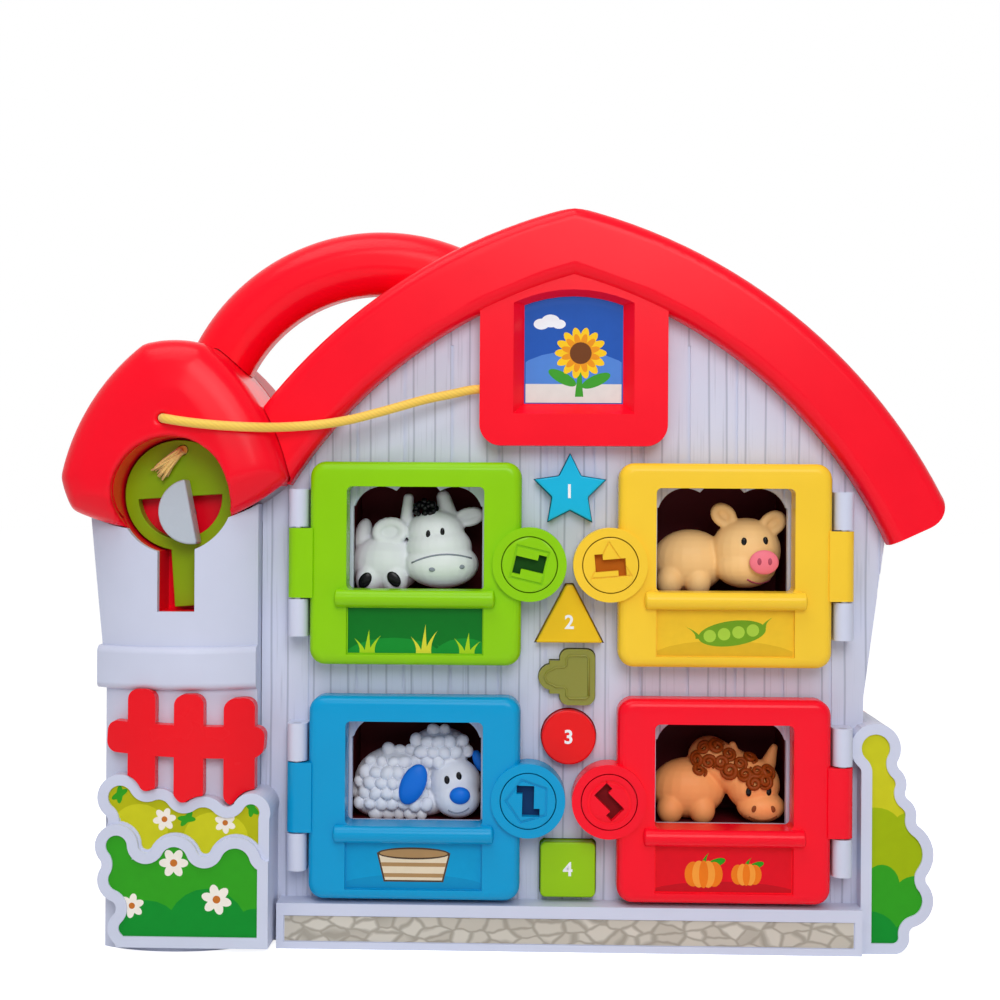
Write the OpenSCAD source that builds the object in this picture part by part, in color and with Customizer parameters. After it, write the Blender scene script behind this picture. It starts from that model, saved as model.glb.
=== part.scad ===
// Musical shape sorter barn: a toy barn with a silo, four keyed doors over animal stalls,
// a key on a cord and a column of push buttons.
// The front faces -Y, Z is up, X = 0 is the button column and Z = 0 the base.

/* [Shells] */
// Depth of the barn wall in front of the joint plane of the two shells
front_depth = 24; // [22:0.5:28]
// Depth of the rear shell behind the joint plane
rear_depth = 26; // [25:0.5:32]
// Wall thickness of the moulded shells
wall = 2.5; // [2:0.1:3]
// Half width of the barn wall at its foot
wall_foot = 83; // [82:0.5:86]
// Side of the barn that meets the silo, from the button column
silo_side = 88; // [86:0.5:92]
// Height of the base plinth under the doors
plinth_h = 12.8; // [10:0.2:13.2]
// How far the plinth stands out of the barn wall
plinth_out = 8.5; // [6:0.5:10]
// Spacing of the plank grooves in the barn wall
plank_w = 13.5; // [10:0.5:18]
// How far the barn wall reaches up under the roof band
wall_lap = 4.5; // [3:0.5:8]
// Width of the rim around a hedge label
hedge_rim = 3; // [2:0.1:3.4]

/* [Roof] */
// Outer radius of each roof slope
roof_r = 158; // [154:0.1:162]
// Outer end of the right slope, sideways from the ridge
eave_x = 106.2; // [104:0.1:108]
// Height of that end
eave_z = 122.7; // [121:0.1:124]
// Ridge position from the button column
roof_x = 0.8; // [0:0.1:2]
// Outer radius of the rounded ridge
ridge_r = 25; // [23:0.5:32]
// Width of the roof band
roof_band = 19.2; // [17:0.1:22]
// Angle at which the right slope ends
roof_end = 25; // [23.5:0.5:27]
// Angle at which the left slope ends behind the dome
roof_end_left = 32.5; // [31:0.5:34]
// How far the roof band stands out of the barn wall
roof_out = 8.5; // [7:0.1:9]
// Rounding of the roof band edges
roof_round = 4; // [2:0.5:4.5]
// Rounding of the lower corner of the roof band
roof_corner = 7.5; // [3:0.5:9]
// Thickness of the roof lip over the shell
roof_lip = 2.8; // [2:0.1:4]

/* [Loft] */
// Outer width of the loft frame
loft_w = 53; // [48:0.5:58]
// Height of the underside of the loft frame
loft_z = 142; // [140.5:0.5:146]
// Width of the loft window
loft_window_w = 34; // [30:0.5:36]
// Height of the loft window at its middle
loft_window_h = 35; // [30:0.5:38]
// Width of the frame below the window
loft_sill = 9; // [7:0.5:11]
// How far the loft frame lies behind the front of the roof band
loft_in = 2; // [1:0.5:3]
// Width of the sloped border around the loft picture
loft_border = 3; // [2:0.2:4]

/* [Silo] */
// Silo axis from the button column
dome_x = 111.2; // [110:0.2:113]
// Half width of the dome at the foot of its flanks
dome_w = 33.3; // [32:0.1:35]
// Radius of the dome's flanks, seen from the front
dome_arc = 63.7; // [60:0.1:68]
// Height of the foot of the flanks
dome_z = 119.7; // [118.5:0.1:121]
// Height of the dome's top
dome_top = 172.1; // [170:0.1:174]
// Radius of the dome's crown
crown_r = 30; // [26:0.5:34]
// Radius of the dome's sagging lower edge
sag_r = 55; // [50:1:60]
// Height of the lowest point of that edge
sag_z = 117.6; // [116.5:0.1:118.5]
// How far the dome stands out of the barn wall
dome_out = 18; // [16.5:0.5:20]
// Radius of the bulging tower front
tower_r = 40; // [38:0.5:43]
// How far the tower's outer side is set in from the dome at the top
tower_in = 6.9; // [6:0.1:8]
// How far it is set in at the foot
tower_foot_in = 13.9; // [13:0.1:15]
// Height of the underside of the tower ring
ring_z = 73; // [72:0.5:76]
// Height of the tower ring
ring_h = 12; // [9:0.5:14]
// How far the ring stands out of the tower
ring_out = 2.4; // [1.5:0.1:3]

/* [Handle] */
// Radius of the handle's centre line
handle_r = 52.6; // [51:0.1:55]
// Thickness of the handle across its bend
handle_w = 18.4; // [16:0.2:19]
// Depth of the handle from front to back
handle_t = 20; // [16:0.5:22]

/* [Doors] */
// Door width
door_w = 59.6; // [57:0.2:61]
// Door height
door_h = 57.2; // [54:0.2:59]
// Door thickness
door_t = 8; // [7:0.2:9]
// Rounding around the front of a door
door_round = 2.4; // [1:0.1:3]
// Radius of the door corners
door_corner = 4.4; // [3.5:0.1:6]
// Width of the column between the doors
column_w = 27.2; // [26:0.2:30]
// Height of the lower door's bottom edge
door_z = 14; // [13.6:0.1:16]
// Space between the upper and lower doors
row_gap = 8.8; // [7:0.2:11]
// Window width
window_w = 38.6; // [34:0.2:41]
// Window height
window_h = 29; // [26:0.2:31]
// Width of the door frame above the window
window_top = 7; // [5:0.2:8]
// Diameter of the ledge under the window
ledge_d = 5; // [4:0.2:6]
// Radius of the hinge pins
pin_r = 1.2; // [1:0.05:1.4]
// Radius of the hinge knuckles
knuckle_r = 2.8; // [2.4:0.1:3]

/* [Locks] */
// Radius of the lock boss
boss_r = 10.4; // [10:0.1:11]
// Radius of the lock disc
disc_r = 7.65; // [7.2:0.05:8]
// Radius of the lock hub
hub_r = 4; // [3.5:0.1:4.4]
// Reach of the lock tongue from the lock centre
tongue_l = 9; // [8:0.2:9.6]
// Width of the lock tongue
tongue_w = 4.4; // [3.6:0.2:5]

/* [Buttons] */
// Travel of the push buttons
button_travel = 2; // [1.5:0.1:2.4]
// How far the buttons stand out of the wall
button_out = 4; // [3:0.2:6]
// Point radius of the star button
star_r = 10.6; // [9:0.1:11]
// Half width of the triangle button
triangle_w = 9.5; // [8:0.1:10]
// Radius of the round button
round_r = 7.7; // [7:0.1:8.5]
// Side of the square button
square_w = 15.6; // [13:0.2:17]
// Height of the star's middle
star_z = 129.2; // [128:0.1:130]
// Height of the triangle's base
triangle_z = 86.3; // [86:0.1:87]
// Height of the light lens
lens_z = 76.4; // [76:0.1:76.8]
// Height of the round button
round_z = 59.5; // [58.5:0.1:60]
// Height of the square button
square_z = 22.1; // [21.6:0.1:22.6]

/* [Key] */
// Radius of the key head
key_r = 15.7; // [15:0.1:16.4]
// Width of the key stem
key_stem_w = 7; // [6:0.2:8]
// Thickness of the key
key_t = 4.6; // [4:0.2:6]
// Height of the key head's centre
key_z = 127.4; // [126.5:0.1:128.5]
// Length of the key from its head's centre to its tip
key_l = 31.6; // [30.5:0.1:33]
// Radius of the turn latch's half disc
latch_r = 9.2; // [8.5:0.1:9.4]
// How far the stored key leans in its pocket
key_turn = 4; // [0:0.5:5]
// Diameter of the tether cord
cord_d = 2.6; // [2.2:0.1:3]

/* [Hidden] */
$fn = 64;
// Clearance of sliding and turning pieces, and of pieces that only seat
run = 0.3;
fit = 0.2;
eps = 0.01;
// Reach of cutting blocks past what they cut
past = 100;

panel_y = -front_depth;
panel_back = panel_y + wall;
shell_r = roof_r - roof_lip - fit;
roof_off = roof_r * cos(roof_end) - eave_x;
roof_z = eave_z - roof_r * sin(roof_end);
ridge_z = roof_z + sqrt(pow(roof_r - ridge_r, 2) - pow(roof_off, 2));
ridge_turn = asin(roof_off / (roof_r - ridge_r));
roof_front = panel_y - roof_out;
loft_front = roof_front + loft_in;
loft_x = roof_x;
picture_front = loft_front + 4;
picture_lap = 1.5;

door_gap = 1.2;
door_back = panel_y - door_gap;
door_front = door_back - door_t;
door_in = column_w / 2;
door_mid_x = door_in + door_w / 2;
lower_z = door_z + door_h / 2;
upper_z = lower_z + door_h + row_gap;
window_dz = door_h / 2 - window_top - window_h / 2;
knuckle_gap = 0.6;
hinge_x = door_in + door_w + knuckle_r + knuckle_gap;
hinge_y = door_front + knuckle_r;
door_knuckle_h = 19.6;
shell_knuckle_h = 10.5;
boss_out = 1.4;
boss_front = door_front - boss_out;
lock_gap = 1.8;
lock_x = boss_r + lock_gap / 2;
disc_t = 3;
cam_t = 2.5;
cam_front = panel_back + 0.5;
slot_gap = 1.5;

// Lock faces of the green, yellow, blue and red door:
// angle of the keyhole, corners and radius of the engraved outline
LOCKS = [[-13, 4, 6.8], [-5, 3, 6.9], [89, 5, 6.6], [45, 64, 6.2]];
keyhole_l = 8.6;
keyhole_w = 3.3;
keyhole_tooth = 2.3;
spigot_r = 2;

stall_w = 37;
stall_h = 24;
stall_depth = 28;
stall_wall = 1.5;
stall_back = panel_back + stall_depth;
stall_floor = -stall_h / 2 - 4;
figure_front = panel_y + 3.4;

dome_off = dome_arc - dome_w;
dome_front = panel_y - dome_out;
sag_x = dome_x + 5;
// Circle that trims the lower corners of the dome
trim_r = dome_w - 0.7;
trim_z = dome_z + 18.8;
// Front of the dome in layers: depth behind its front, inset, and lift of its lower edge
DOME_LAYERS = [[7.5, 0, 0], [4.8, 0.9, 1.5], [2.6, 3, 4], [1, 7, 6.5], [0, 14, 8]];
tower_axis_y = 3;
tower_top = dome_z + 12;
hedge_front = -39;
hedge_step = 1.5;
hedge_z = 2;
label_depth = 0.8;
right_hedge_out = 6;
// Lobes of the right hedge as [x, z, radius]
RIGHT_LOBES = [
  [86, 57.6, 7], [89, 47.6, 5.6], [92, 39, 5.4], [92.6, 28, 9.6], [94.6, 15, 7.6], [91, 4.6, 4.6]
];
// Lobes along the side and tops of the two left hedges
LEFT_LOBES = [[-124.7, 43.2, 6.4], [-125.3, 30, 6], [-124.4, 20.6, 6.2], [-122.4, 7.2, 5.2]];
TOP_LOBES = [[-113.8, 39.6, 6.2], [-101.4, 36.8, 7], [-88.1, 39.4, 5.4]];
LOW_LOBES = [[-109.2, 26.2, 6.8], [-92.2, 25.6, 7.2]];
// Rounding of the dips between the lobes
dip_r = 2.2;
// Fence: rail as [left end, right end, height, width], posts as [x, foot, top]
RAIL = [-128.8, -85.6, 59.2, 8.8];
rail_tilt = -3;
POSTS = [[-118.5, 44, 73.6], [-105.3, 42, 72.2], [-92, 41, 70.8]];
fence_post_w = 8;
fence_t = 4;
fence_round = 3;
handle_mid = [-55.5, 143.5];
handle_y = -8;

pocket_x = -111;
pocket_fit = 0.6;
pocket_wall = 1.6;
pocket_floor = -23;
pocket_slot_w = 10.4;
pocket_slot_x = pocket_x + 1;
key_front = pocket_floor - key_t - fit;
latch_t = 7;
latch_pos = [pocket_x + 0.8, key_z - 5.3];
latch_turn = 11;
latch_stem = 2.6;
latch_collar = 2;
latch_end = pocket_floor + pocket_wall + 3;
key_window_r = 12;
key_window_z = -0.4;

button_z = [star_z, triangle_z, lens_z, round_z, square_z];
flange_t = 1.2;
flange_w = 1.2;
flange_y = panel_back + 0.1;
lens_out = 2.4;
pad_t = 2.6;
pad_gap = 0.6;
board_y = flange_y + flange_t + button_travel + pad_gap + pad_t;
board_t = 1.6;
board_w = 24;
// Heights of the board's posts
BOARD_POSTS = [lower_z - 8, upper_z + 4];

screw_r = 1.4;
screw_head_r = 2.8;
screw_l = 8;
screw_boss_r = 3.6;
screw_post_r = 5;
// Places of the case screws
SCREWS = [[-70, 75.6], [70, 75.6], [-46, 146], [50, 146], [0, 8.5], [-112, 60]];

cell_r = 7.2;
cell_l = 50.5;
cell_gap = 0.8;
well_z = 165.5;
well_w = cell_l + 8;
well_h = 4 * cell_r + cell_gap + 3;
well_depth = 2 * cell_r + 3;
hatch_t = 2;
hatch_rim = 3;
hatch_screw_z = well_z - well_h / 2 - 1.4;
switch_pos = [68, 138];
switch_travel = 5;
switch_plate = [18, 1.7, 10];
switch_knob = [6, 4.4];

speaker_r = 14;
speaker_z = (lower_z + upper_z) / 2 + 2;

// Cord route from the loft frame over the roof and dome to the key, chosen point by point
CORD = [
  [-22, -27.5, 158], [-27, -27.6, 157.9], [-34, -29, 156.4], [-41, -30.6, 154.8], [-48, -32.2, 152.7],
  [-55, -33.8, 150.6], [-62, -34.2, 148.8], [-69, -34.3, 147.6], [-77, -35.4, 146.8], [-82.5, -38.4, 146.4],
  [-88, -41.8, 146.3], [-94, -43.2, 146.5], [-101, -43.8, 147], [-107, -43.8, 147.7], [-111.4, -43.4, 148.4],
  [-113, -40.6, 148.7], [-113, -36, 149], [-112.6, -28, 149.2], [-111.6, -19, 148.4], [-110.8, -14.4, 145.6],
  [-110.4, -14.4, 142.2], [-110.3, -17.6, 140.4], [-110.3, -23, 140.3], [-110.3, -27.6, 140.3]
];
// Where the cord goes in through the dome and out through the key
cord_in = [CORD[15][0], CORD[15][2]];
cord_out = [CORD[23][0], CORD[23][2]];

// Extrudes an outline drawn in the X-Z plane between two depths
module slab(front, back) {
  translate([0, back, 0]) rotate([90, 0, 0]) linear_extrude(back - front) children();
}

// Post along Y
module post(x, z, r, front, back) {
  slab(front, back) translate([x, z]) circle(r);
}

// Rectangle with round corners, centred
module round_rect(w, h, r) {
  square([w - 2 * r, h], center = true);
  square([w, h - 2 * r], center = true);
  for (x = [-1, 1], z = [-1, 1]) translate([x * (w / 2 - r), z * (h / 2 - r)]) circle(r);
}

function roof_point(r, a) = [roof_x - roof_off + r * cos(a), roof_z + r * sin(a)];

// Common area of the two roof discs, with the ridge rounded
module roof_area(r) {
  side = 3 * past * [sin(ridge_turn), cos(ridge_turn)];
  intersection() {
    translate([roof_x - roof_off, roof_z]) circle(r, $fn = 160);
    translate([roof_x + roof_off, roof_z]) circle(r, $fn = 160);
    translate([roof_x, ridge_z]) {
      circle(ridge_r + r - roof_r);
      polygon([[0, 0], side, 3 * past * [1, -1], 3 * past * [-1, -1], [-side[0], side[1]]]);
    }
  }
}

// Barn outline up to the roof, drawn in by an inset
module barn_area(r, end, side, inset = 0) {
  turn = inset / roof_r * 180 / PI;
  intersection() {
    polygon([
      [-side + inset, inset], [wall_foot - inset, inset], [wall_foot + 0.6 - inset, door_z + door_h],
      roof_point(roof_r - roof_band + wall_lap - inset, end + turn), roof_point(roof_r + 9, end + turn),
      [roof_r, roof_r + roof_z], [-side + inset, roof_r + roof_z]
    ]);
    roof_area(r - inset);
  }
}

module lobes(list) {
  for (l = list) translate([l[0], l[1]]) circle(l[2], $fn = 32);
}

module right_hedge_area(inset = 0) {
  side = wall_foot - 1;
  offset(-dip_r - inset) offset(dip_r) {
    lobes(RIGHT_LOBES);
    polygon(concat(
      [[side, 0], [RIGHT_LOBES[5][0], 0]],
      [for (i = [5:-1:0]) [RIGHT_LOBES[i][0], RIGHT_LOBES[i][1]]],
      [[side, RIGHT_LOBES[0][1] + RIGHT_LOBES[0][2] - 1]]
    ));
  }
}

// Block from a lobe's middle across to the barn, up to a height
module hedge_fill(left, top) {
  translate([left, hedge_z]) square([-wall_foot - left, top - hedge_z]);
}

module left_hedge_area(inset = 0) {
  offset(-dip_r - inset) offset(dip_r) {
    lobes(concat(LEFT_LOBES, TOP_LOBES));
    hedge_fill(LEFT_LOBES[0][0], TOP_LOBES[0][1]);
  }
}

module low_hedge_area(inset = 0) {
  offset(-dip_r - inset) offset(dip_r) {
    lobes(concat([for (i = [1:3]) LEFT_LOBES[i]], LOW_LOBES));
    hedge_fill(LEFT_LOBES[1][0], LOW_LOBES[0][1]);
  }
}

// Everything on the outer side of the barn's silo side
module silo_half(inset = 0) {
  translate([-2 * past, 0]) square([2 * past - silo_side - fit - inset, past]);
}

// Tower outline seen from the front, up to a height
module tower_area(inset, top) {
  side = dome_x + dome_w;
  polygon([
    [-silo_side - fit - inset, inset], [-silo_side - fit - inset, top], [-side + tower_in + inset, top],
    [-side + tower_foot_in + inset, ring_z], [-side + tower_foot_in + inset, inset]
  ]);
}

// Upright cylinder that bounds the bulging tower front
module tower_bulge(grow = 0) {
  translate([-dome_x, tower_axis_y, 0]) cylinder(r = tower_r + grow, h = dome_top, $fn = 128);
}

// Outline of the dome seen from the front, drawn in by an inset and with its lower edge lifted
module dome_area(inset = 0, lift = 0) {
  crown_z = dome_top - crown_r;
  translate([-dome_x, 0]) intersection() {
    translate([-dome_off, dome_z]) circle(dome_arc - inset, $fn = 160);
    translate([dome_off, dome_z]) circle(dome_arc - inset, $fn = 160);
    union() {
      translate([0, crown_z]) circle(crown_r - inset);
      translate([-past, crown_z - past]) square([2 * past, past]);
    }
    translate([dome_x - sag_x, sag_z + sag_r]) circle(sag_r - lift, $fn = 120);
    translate([0, trim_z]) circle(trim_r - inset, $fn = 96);
  }
}

// Dome with its rounded front, drawn in by a wall
module dome_solid(inset = 0) {
  hull() for (l = DOME_LAYERS)
    slab(dome_front + l[0] + inset, 0) dome_area(l[1] + inset, l[2] + inset);
}

// Space that the dome takes up in the pieces behind its front
module dome_space() {
  slab(-past, past) dome_area(-fit, -fit);
}

// Keyhole outline of the key's pocket
module pocket_area(grow = 0) {
  translate([pocket_x, key_z]) circle(key_r + pocket_fit + grow);
  stem_h = key_l + 1;
  translate([pocket_slot_x - pocket_slot_w / 2 - grow, key_z - stem_h - grow])
    square([pocket_slot_w + 2 * grow, stem_h]);
}

// Runs its children for both rows of doors on one side
module each_door(side) {
  for (z = [lower_z, upper_z]) translate([0, 0, z]) mirror([side < 0 ? 0 : 1, 0, 0]) children();
}

// Stall opening: a box with three lobes along its top, centred on the door's window
module stall_area(grow = 0) {
  translate([0, -3]) square([stall_w + 2 * grow, stall_h + 2 * grow], center = true);
  for (x = [-10.5, 0, 10.5]) translate([x, x == 0 ? 8.5 : 6.6]) circle(8 + grow);
}

// Opening in the barn wall that lets the hub and tongue of a lock through
module lock_slot() {
  circle(hub_r + slot_gap);
  translate([-tongue_w / 2 - slot_gap, -tongue_l - slot_gap])
    square([tongue_w + 2 * slot_gap, tongue_l + slot_gap]);
}

module star_area(grow = 0) {
  r_out = star_r + 1.6 * grow;
  r_in = star_r / 2 + grow;
  polygon([for (i = [0:9]) let (r = i % 2 == 0 ? r_out : r_in) r * [sin(36 * i), cos(36 * i)]]);
}

module triangle_area(grow = 0) {
  h = triangle_w * 1.726;
  polygon([
    [-triangle_w - 1.8 * grow, -grow], [triangle_w + 1.8 * grow, -grow], [1 + 0.6 * grow, h + grow],
    [-1 - 0.6 * grow, h + grow]
  ]);
}

// Bell lying on its side: mouth, waist and clapper
module lens_area(grow = 0) {
  mouth = [10, 15.9];
  waist = [8, 9.4];
  translate([2.4, 0]) round_rect(mouth[0] + 2 * grow, mouth[1] + 2 * grow, 2.6);
  translate([-1.5, 0]) square(waist + 2 * grow * [1, 1], center = true);
  translate([-5, 0]) circle(3.6 + grow);
}

// Outline of a button by its place in the column, counted from the top
module button_area(i, grow = 0) {
  translate([0, button_z[i]]) {
    if (i == 0) star_area(grow);
    if (i == 1) triangle_area(grow);
    if (i == 2) lens_area(grow);
    if (i == 3) circle(round_r + grow);
    if (i == 4) round_rect(square_w + 2 * grow, square_w + 2 * grow, 1.5);
  }
}

// Middle of a button, where its contact pad sits
function button_mid(i) = button_z[i] + (i == 1 ? triangle_w * 0.6 : 0);

module front_shell() {
  color("#c6cbdf") difference() {
    union() {
      slab(panel_y, 0) barn_area(shell_r, roof_end + 3, silo_side);
      slab(panel_y - right_hedge_out, 0) right_hedge_area();
      slab(panel_y - plinth_out, panel_y) polygon([
        [-wall_foot + 1, 0], [wall_foot - 1, 0], [wall_foot - 1, plinth_h], [-wall_foot + 1, plinth_h]
      ]);
      for (s = [-1, 1]) each_door(s) shell_knuckles();
    }
    difference() {
      union() {
        slab(panel_back, past) barn_area(shell_r, roof_end + 3, silo_side, wall);
        slab(panel_back, past) right_hedge_area(wall);
      }
      for (p = SCREWS) if (p[0] > -silo_side) post(p[0], p[1], screw_boss_r, panel_back - eps, 0);
    }
    for (p = SCREWS) if (p[0] > -silo_side) post(p[0], p[1], screw_r + 0.05, panel_back + 4, past);
    slab(panel_y - past, panel_y - right_hedge_out + label_depth) right_hedge_area(hedge_rim);
    slab(panel_y - plinth_out - 1, panel_y - plinth_out + 0.5)
      translate([-wall_foot + 3, 2]) square([2 * wall_foot - 6, plinth_h - 5.4]);
    for (i = [0:4]) slab(panel_y - past, 0) button_area(i, i == 2 ? fit : run);
    for (s = [-1, 1]) each_door(s) {
      slab(panel_y - 1, -1) translate([-door_mid_x, window_dz]) stall_area();
      slab(panel_y - 1, panel_back + 1) translate([-lock_x, 0]) lock_slot();
      translate([-hinge_x, hinge_y, -door_h / 2]) cylinder(r = pin_r + 0.05, h = door_h);
    }
    plank_grooves();
    dome_space();
  }
}

// Knuckles on the wall above and below a door's own knuckle, with the hinge of a left door
module shell_knuckles() {
  for (s = [-1, 1]) translate([-hinge_x, 0, s * (door_knuckle_h + shell_knuckle_h + 0.8) / 2]) {
    translate([0, hinge_y, 0]) cylinder(r = knuckle_r, h = shell_knuckle_h, center = true);
    translate([-knuckle_r, hinge_y, -shell_knuckle_h / 2])
      cube([2 * knuckle_r, panel_y - hinge_y + eps, shell_knuckle_h]);
  }
}

module plank_grooves() {
  count = floor(silo_side / plank_w);
  for (i = [-count:count])
    translate([(i + 0.5) * plank_w - 0.4, panel_y - eps, plinth_h]) cube([0.8, 0.5, roof_r]);
}

module silo_front() {
  boss = SCREWS[5];
  color("#c6cbdf") difference() {
    union() {
      intersection() {
        slab(-past, 0) tower_area(0, tower_top);
        tower_bulge();
      }
      tower_ring();
      slab(hedge_front, 0) intersection() {
        left_hedge_area();
        silo_half();
      }
      slab(hedge_front, panel_y - fit) left_hedge_area();
      slab(hedge_front - hedge_step, panel_y - fit) low_hedge_area();
    }
    dome_space();
    intersection() {
      union() {
        slab(-past, past) tower_area(wall, sag_z - wall);
        slab(-past, 0) pocket_area(pocket_wall + fit);
      }
      tower_bulge(-wall);
    }
    slab(hedge_front + 2 * wall, past) intersection() {
      left_hedge_area(wall);
      silo_half(wall);
    }
    slab(hedge_front - 1, hedge_front + label_depth) difference() {
      left_hedge_area(hedge_rim);
      low_hedge_area(-0.6);
    }
    slab(-past, hedge_front - hedge_step + label_depth) low_hedge_area(hedge_rim);
    slab(-past, pocket_floor) pocket_area();
  }
  color("#c6cbdf") difference() {
    post(boss[0], boss[1], screw_boss_r, tower_axis_y - tower_r + wall - 1, 0);
    post(boss[0], boss[1], screw_r + 0.05, -16, past);
  }
}

// Rounded band around the tower front
module tower_ring(grow = 0) {
  intersection() {
    translate([-dome_x, tower_axis_y, ring_z - grow]) rotate_extrude($fn = 128) {
      square([tower_r, ring_h + 2 * grow]);
      translate([tower_r, ring_h / 2 + grow]) round_rect(2 * (ring_out + grow), ring_h + 2 * grow, 2);
    }
    left = dome_x + dome_w - tower_foot_in + ring_out;
    translate([-left, -past, 0]) cube([left - silo_side - fit, past, past]);
  }
}

// Upright cylinder that bounds the bulging back of the tower
module tower_back_bulge(grow = 0) {
  translate([-dome_x, rear_depth - tower_r, 0]) cylinder(r = tower_r + grow, h = dome_top, $fn = 128);
}

// Rear half of the barn, hedges, tower and dome, drawn in by an inset
module rear_block(inset = 0) {
  front = inset > 0 ? -eps : 0;
  slab(front, rear_depth - inset) {
    barn_area(roof_r, roof_end, silo_side + 6, inset);
    right_hedge_area(inset);
    dome_area(inset, inset);
  }
  intersection() {
    slab(front, rear_depth) {
      tower_area(inset, tower_top);
      intersection() {
        left_hedge_area(inset);
        translate([-2 * past, 0]) square([2 * past - wall_foot, past]);
      }
    }
    tower_back_bulge(-inset);
  }
}

module rear_shell() {
  color("#d5142b") difference() {
    rear_block();
    difference() {
      rear_block(wall);
      for (p = SCREWS) post(p[0], p[1], screw_post_r, 0, rear_depth);
      slab(rear_depth - well_depth - wall, rear_depth)
        translate([loft_x, well_z]) square([well_w + 2 * wall, well_h + 2 * wall], center = true);
      for (z = BOARD_POSTS) post(0, z, 3, -eps, rear_depth);
    }
    for (p = SCREWS) {
      post(p[0], p[1], screw_r + 0.3, -1, past);
      post(p[0], p[1], screw_head_r + 0.4, screw_l, past);
    }
    slab(rear_depth - well_depth, past) translate([loft_x, well_z]) square([well_w, well_h], center = true);
    slab(rear_depth - hatch_t, past)
      translate([loft_x, well_z]) round_rect(well_w + 2 * hatch_rim, well_h + 2 * hatch_rim, 3);
    slab(0, past) translate(switch_pos)
      square([switch_travel + switch_knob[0], switch_knob[1]] + 2 * run * [1, 1], center = true);
    for (a = [0:60:300], r = [5, 9.5])
      post(r * cos(a + 3 * r), speaker_z + r * sin(a + 3 * r), 1.4, 0, past);
  }
}

// Section of the roof band: rounded front and a lip over the shell
module roof_profile() {
  translate([roof_r - roof_band, front_depth + fit]) {
    square([roof_band, roof_out - roof_round - fit]);
    translate([roof_round, 0]) square([roof_band - 2 * roof_round, roof_out - fit]);
    for (x = [roof_round, roof_band - roof_round])
      translate([x, roof_out - roof_round - fit]) circle(roof_round);
  }
  translate([roof_r - roof_lip, 0]) square([roof_lip, front_depth + 1]);
}

// Right slope of the roof band from its rounded end up to the ridge
module roof_slope() {
  past_ridge = 85;
  difference() {
    intersection() {
      translate([roof_x - roof_off, 0, roof_z]) rotate([90, 0, 0]) rotate([0, 0, roof_end])
        rotate_extrude(angle = past_ridge - roof_end, $fn = 160) roof_profile();
      translate([roof_x, -past, 0]) cube([2 * past, 2 * past, 3 * past]);
    }
    slab(-past, past) translate([roof_x - roof_off, roof_z]) rotate(roof_end)
      translate([roof_r - roof_corner, 0]) difference() {
        translate([0, -1]) square(roof_corner + 1);
        translate([0, roof_corner]) circle(roof_corner);
      }
  }
}

// What the rounding takes off the ridge
module ridge_waste() {
  side = past * [sin(ridge_turn), cos(ridge_turn)];
  slab(-past, past) translate([roof_x, ridge_z]) difference() {
    polygon([[0, 0], side, [-side[0], side[1]]]);
    circle(ridge_r);
  }
}

// Loft window with its arched head, drawn in by an inset
module loft_window(inset = 0) {
  arch = 40;
  translate([loft_x, loft_z + loft_sill]) intersection() {
    translate([-loft_window_w / 2 + inset, inset]) square([loft_window_w - 2 * inset, loft_window_h - inset]);
    translate([0, loft_window_h - arch - inset / 2]) circle(arch);
  }
}

module roof_trim() {
  color("#ee1028") difference() {
    union() {
      roof_slope();
      translate([2 * roof_x, 0, 0]) mirror([1, 0, 0]) roof_slope();
      slab(loft_front, panel_y - 2 * fit) intersection() {
        translate([loft_x, loft_z + loft_w]) round_rect(loft_w, 2 * loft_w, 6);
        roof_area(roof_r - roof_round - 1);
      }
    }
    ridge_waste();
    slab(-past, past) translate([roof_x + roof_off, roof_z]) rotate(180 - roof_end_left)
      square([2 * roof_r, past]);
    hull() {
      slab(-past / 2, loft_front) loft_window();
      slab(-past / 2, picture_front) loft_window(loft_border);
    }
    slab(picture_front - eps, 0) loft_window(loft_border - picture_lap);
    translate(CORD[0]) rotate([0, -90, 0]) cylinder(r = cord_d / 2 + fit, h = loft_w / 2);
    dome_space();
  }
}

module loft_picture() {
  color("#2f63b8") slab(picture_front, panel_y - fit) loft_window(loft_border - picture_lap + fit);
}

module silo_roof() {
  color("#ee1028") difference() {
    dome_solid();
    dome_solid(wall);
    slab(dome_front + DOME_LAYERS[0][0] + wall, past) dome_area(wall, -past);
    slab(-past, past) pocket_area();
    post(cord_in[0], cord_in[1], cord_d / 2 + fit, -past, past);
  }
}

module carry_handle() {
  round = 8;
  color("#ee1028") difference() {
    translate([handle_mid[0], handle_y, handle_mid[1]]) rotate([90, 0, 0]) rotate([0, 0, 30])
      rotate_extrude(angle = 140, $fn = 128) translate([handle_r, 0]) round_rect(handle_w, handle_t, round);
    dome_space();
    slab(-past, past) roof_area(roof_r + fit);
  }
}

// Rail and posts that follow the bulge of the tower
module fence() {
  color("#e01023") intersection() {
    difference() {
      slab(-past, 0) {
        translate([(RAIL[0] + RAIL[1]) / 2, RAIL[2]]) rotate(rail_tilt)
          round_rect(RAIL[1] - RAIL[0], RAIL[3], fence_round);
        for (p = POSTS)
          translate([p[0], (p[1] + p[2]) / 2]) round_rect(fence_post_w, p[2] - p[1], fence_round);
      }
      tower_bulge(fit);
      tower_ring(fit);
      slab(-past, 0) left_hedge_area(-run);
    }
    tower_bulge(fence_t);
  }
}

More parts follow.
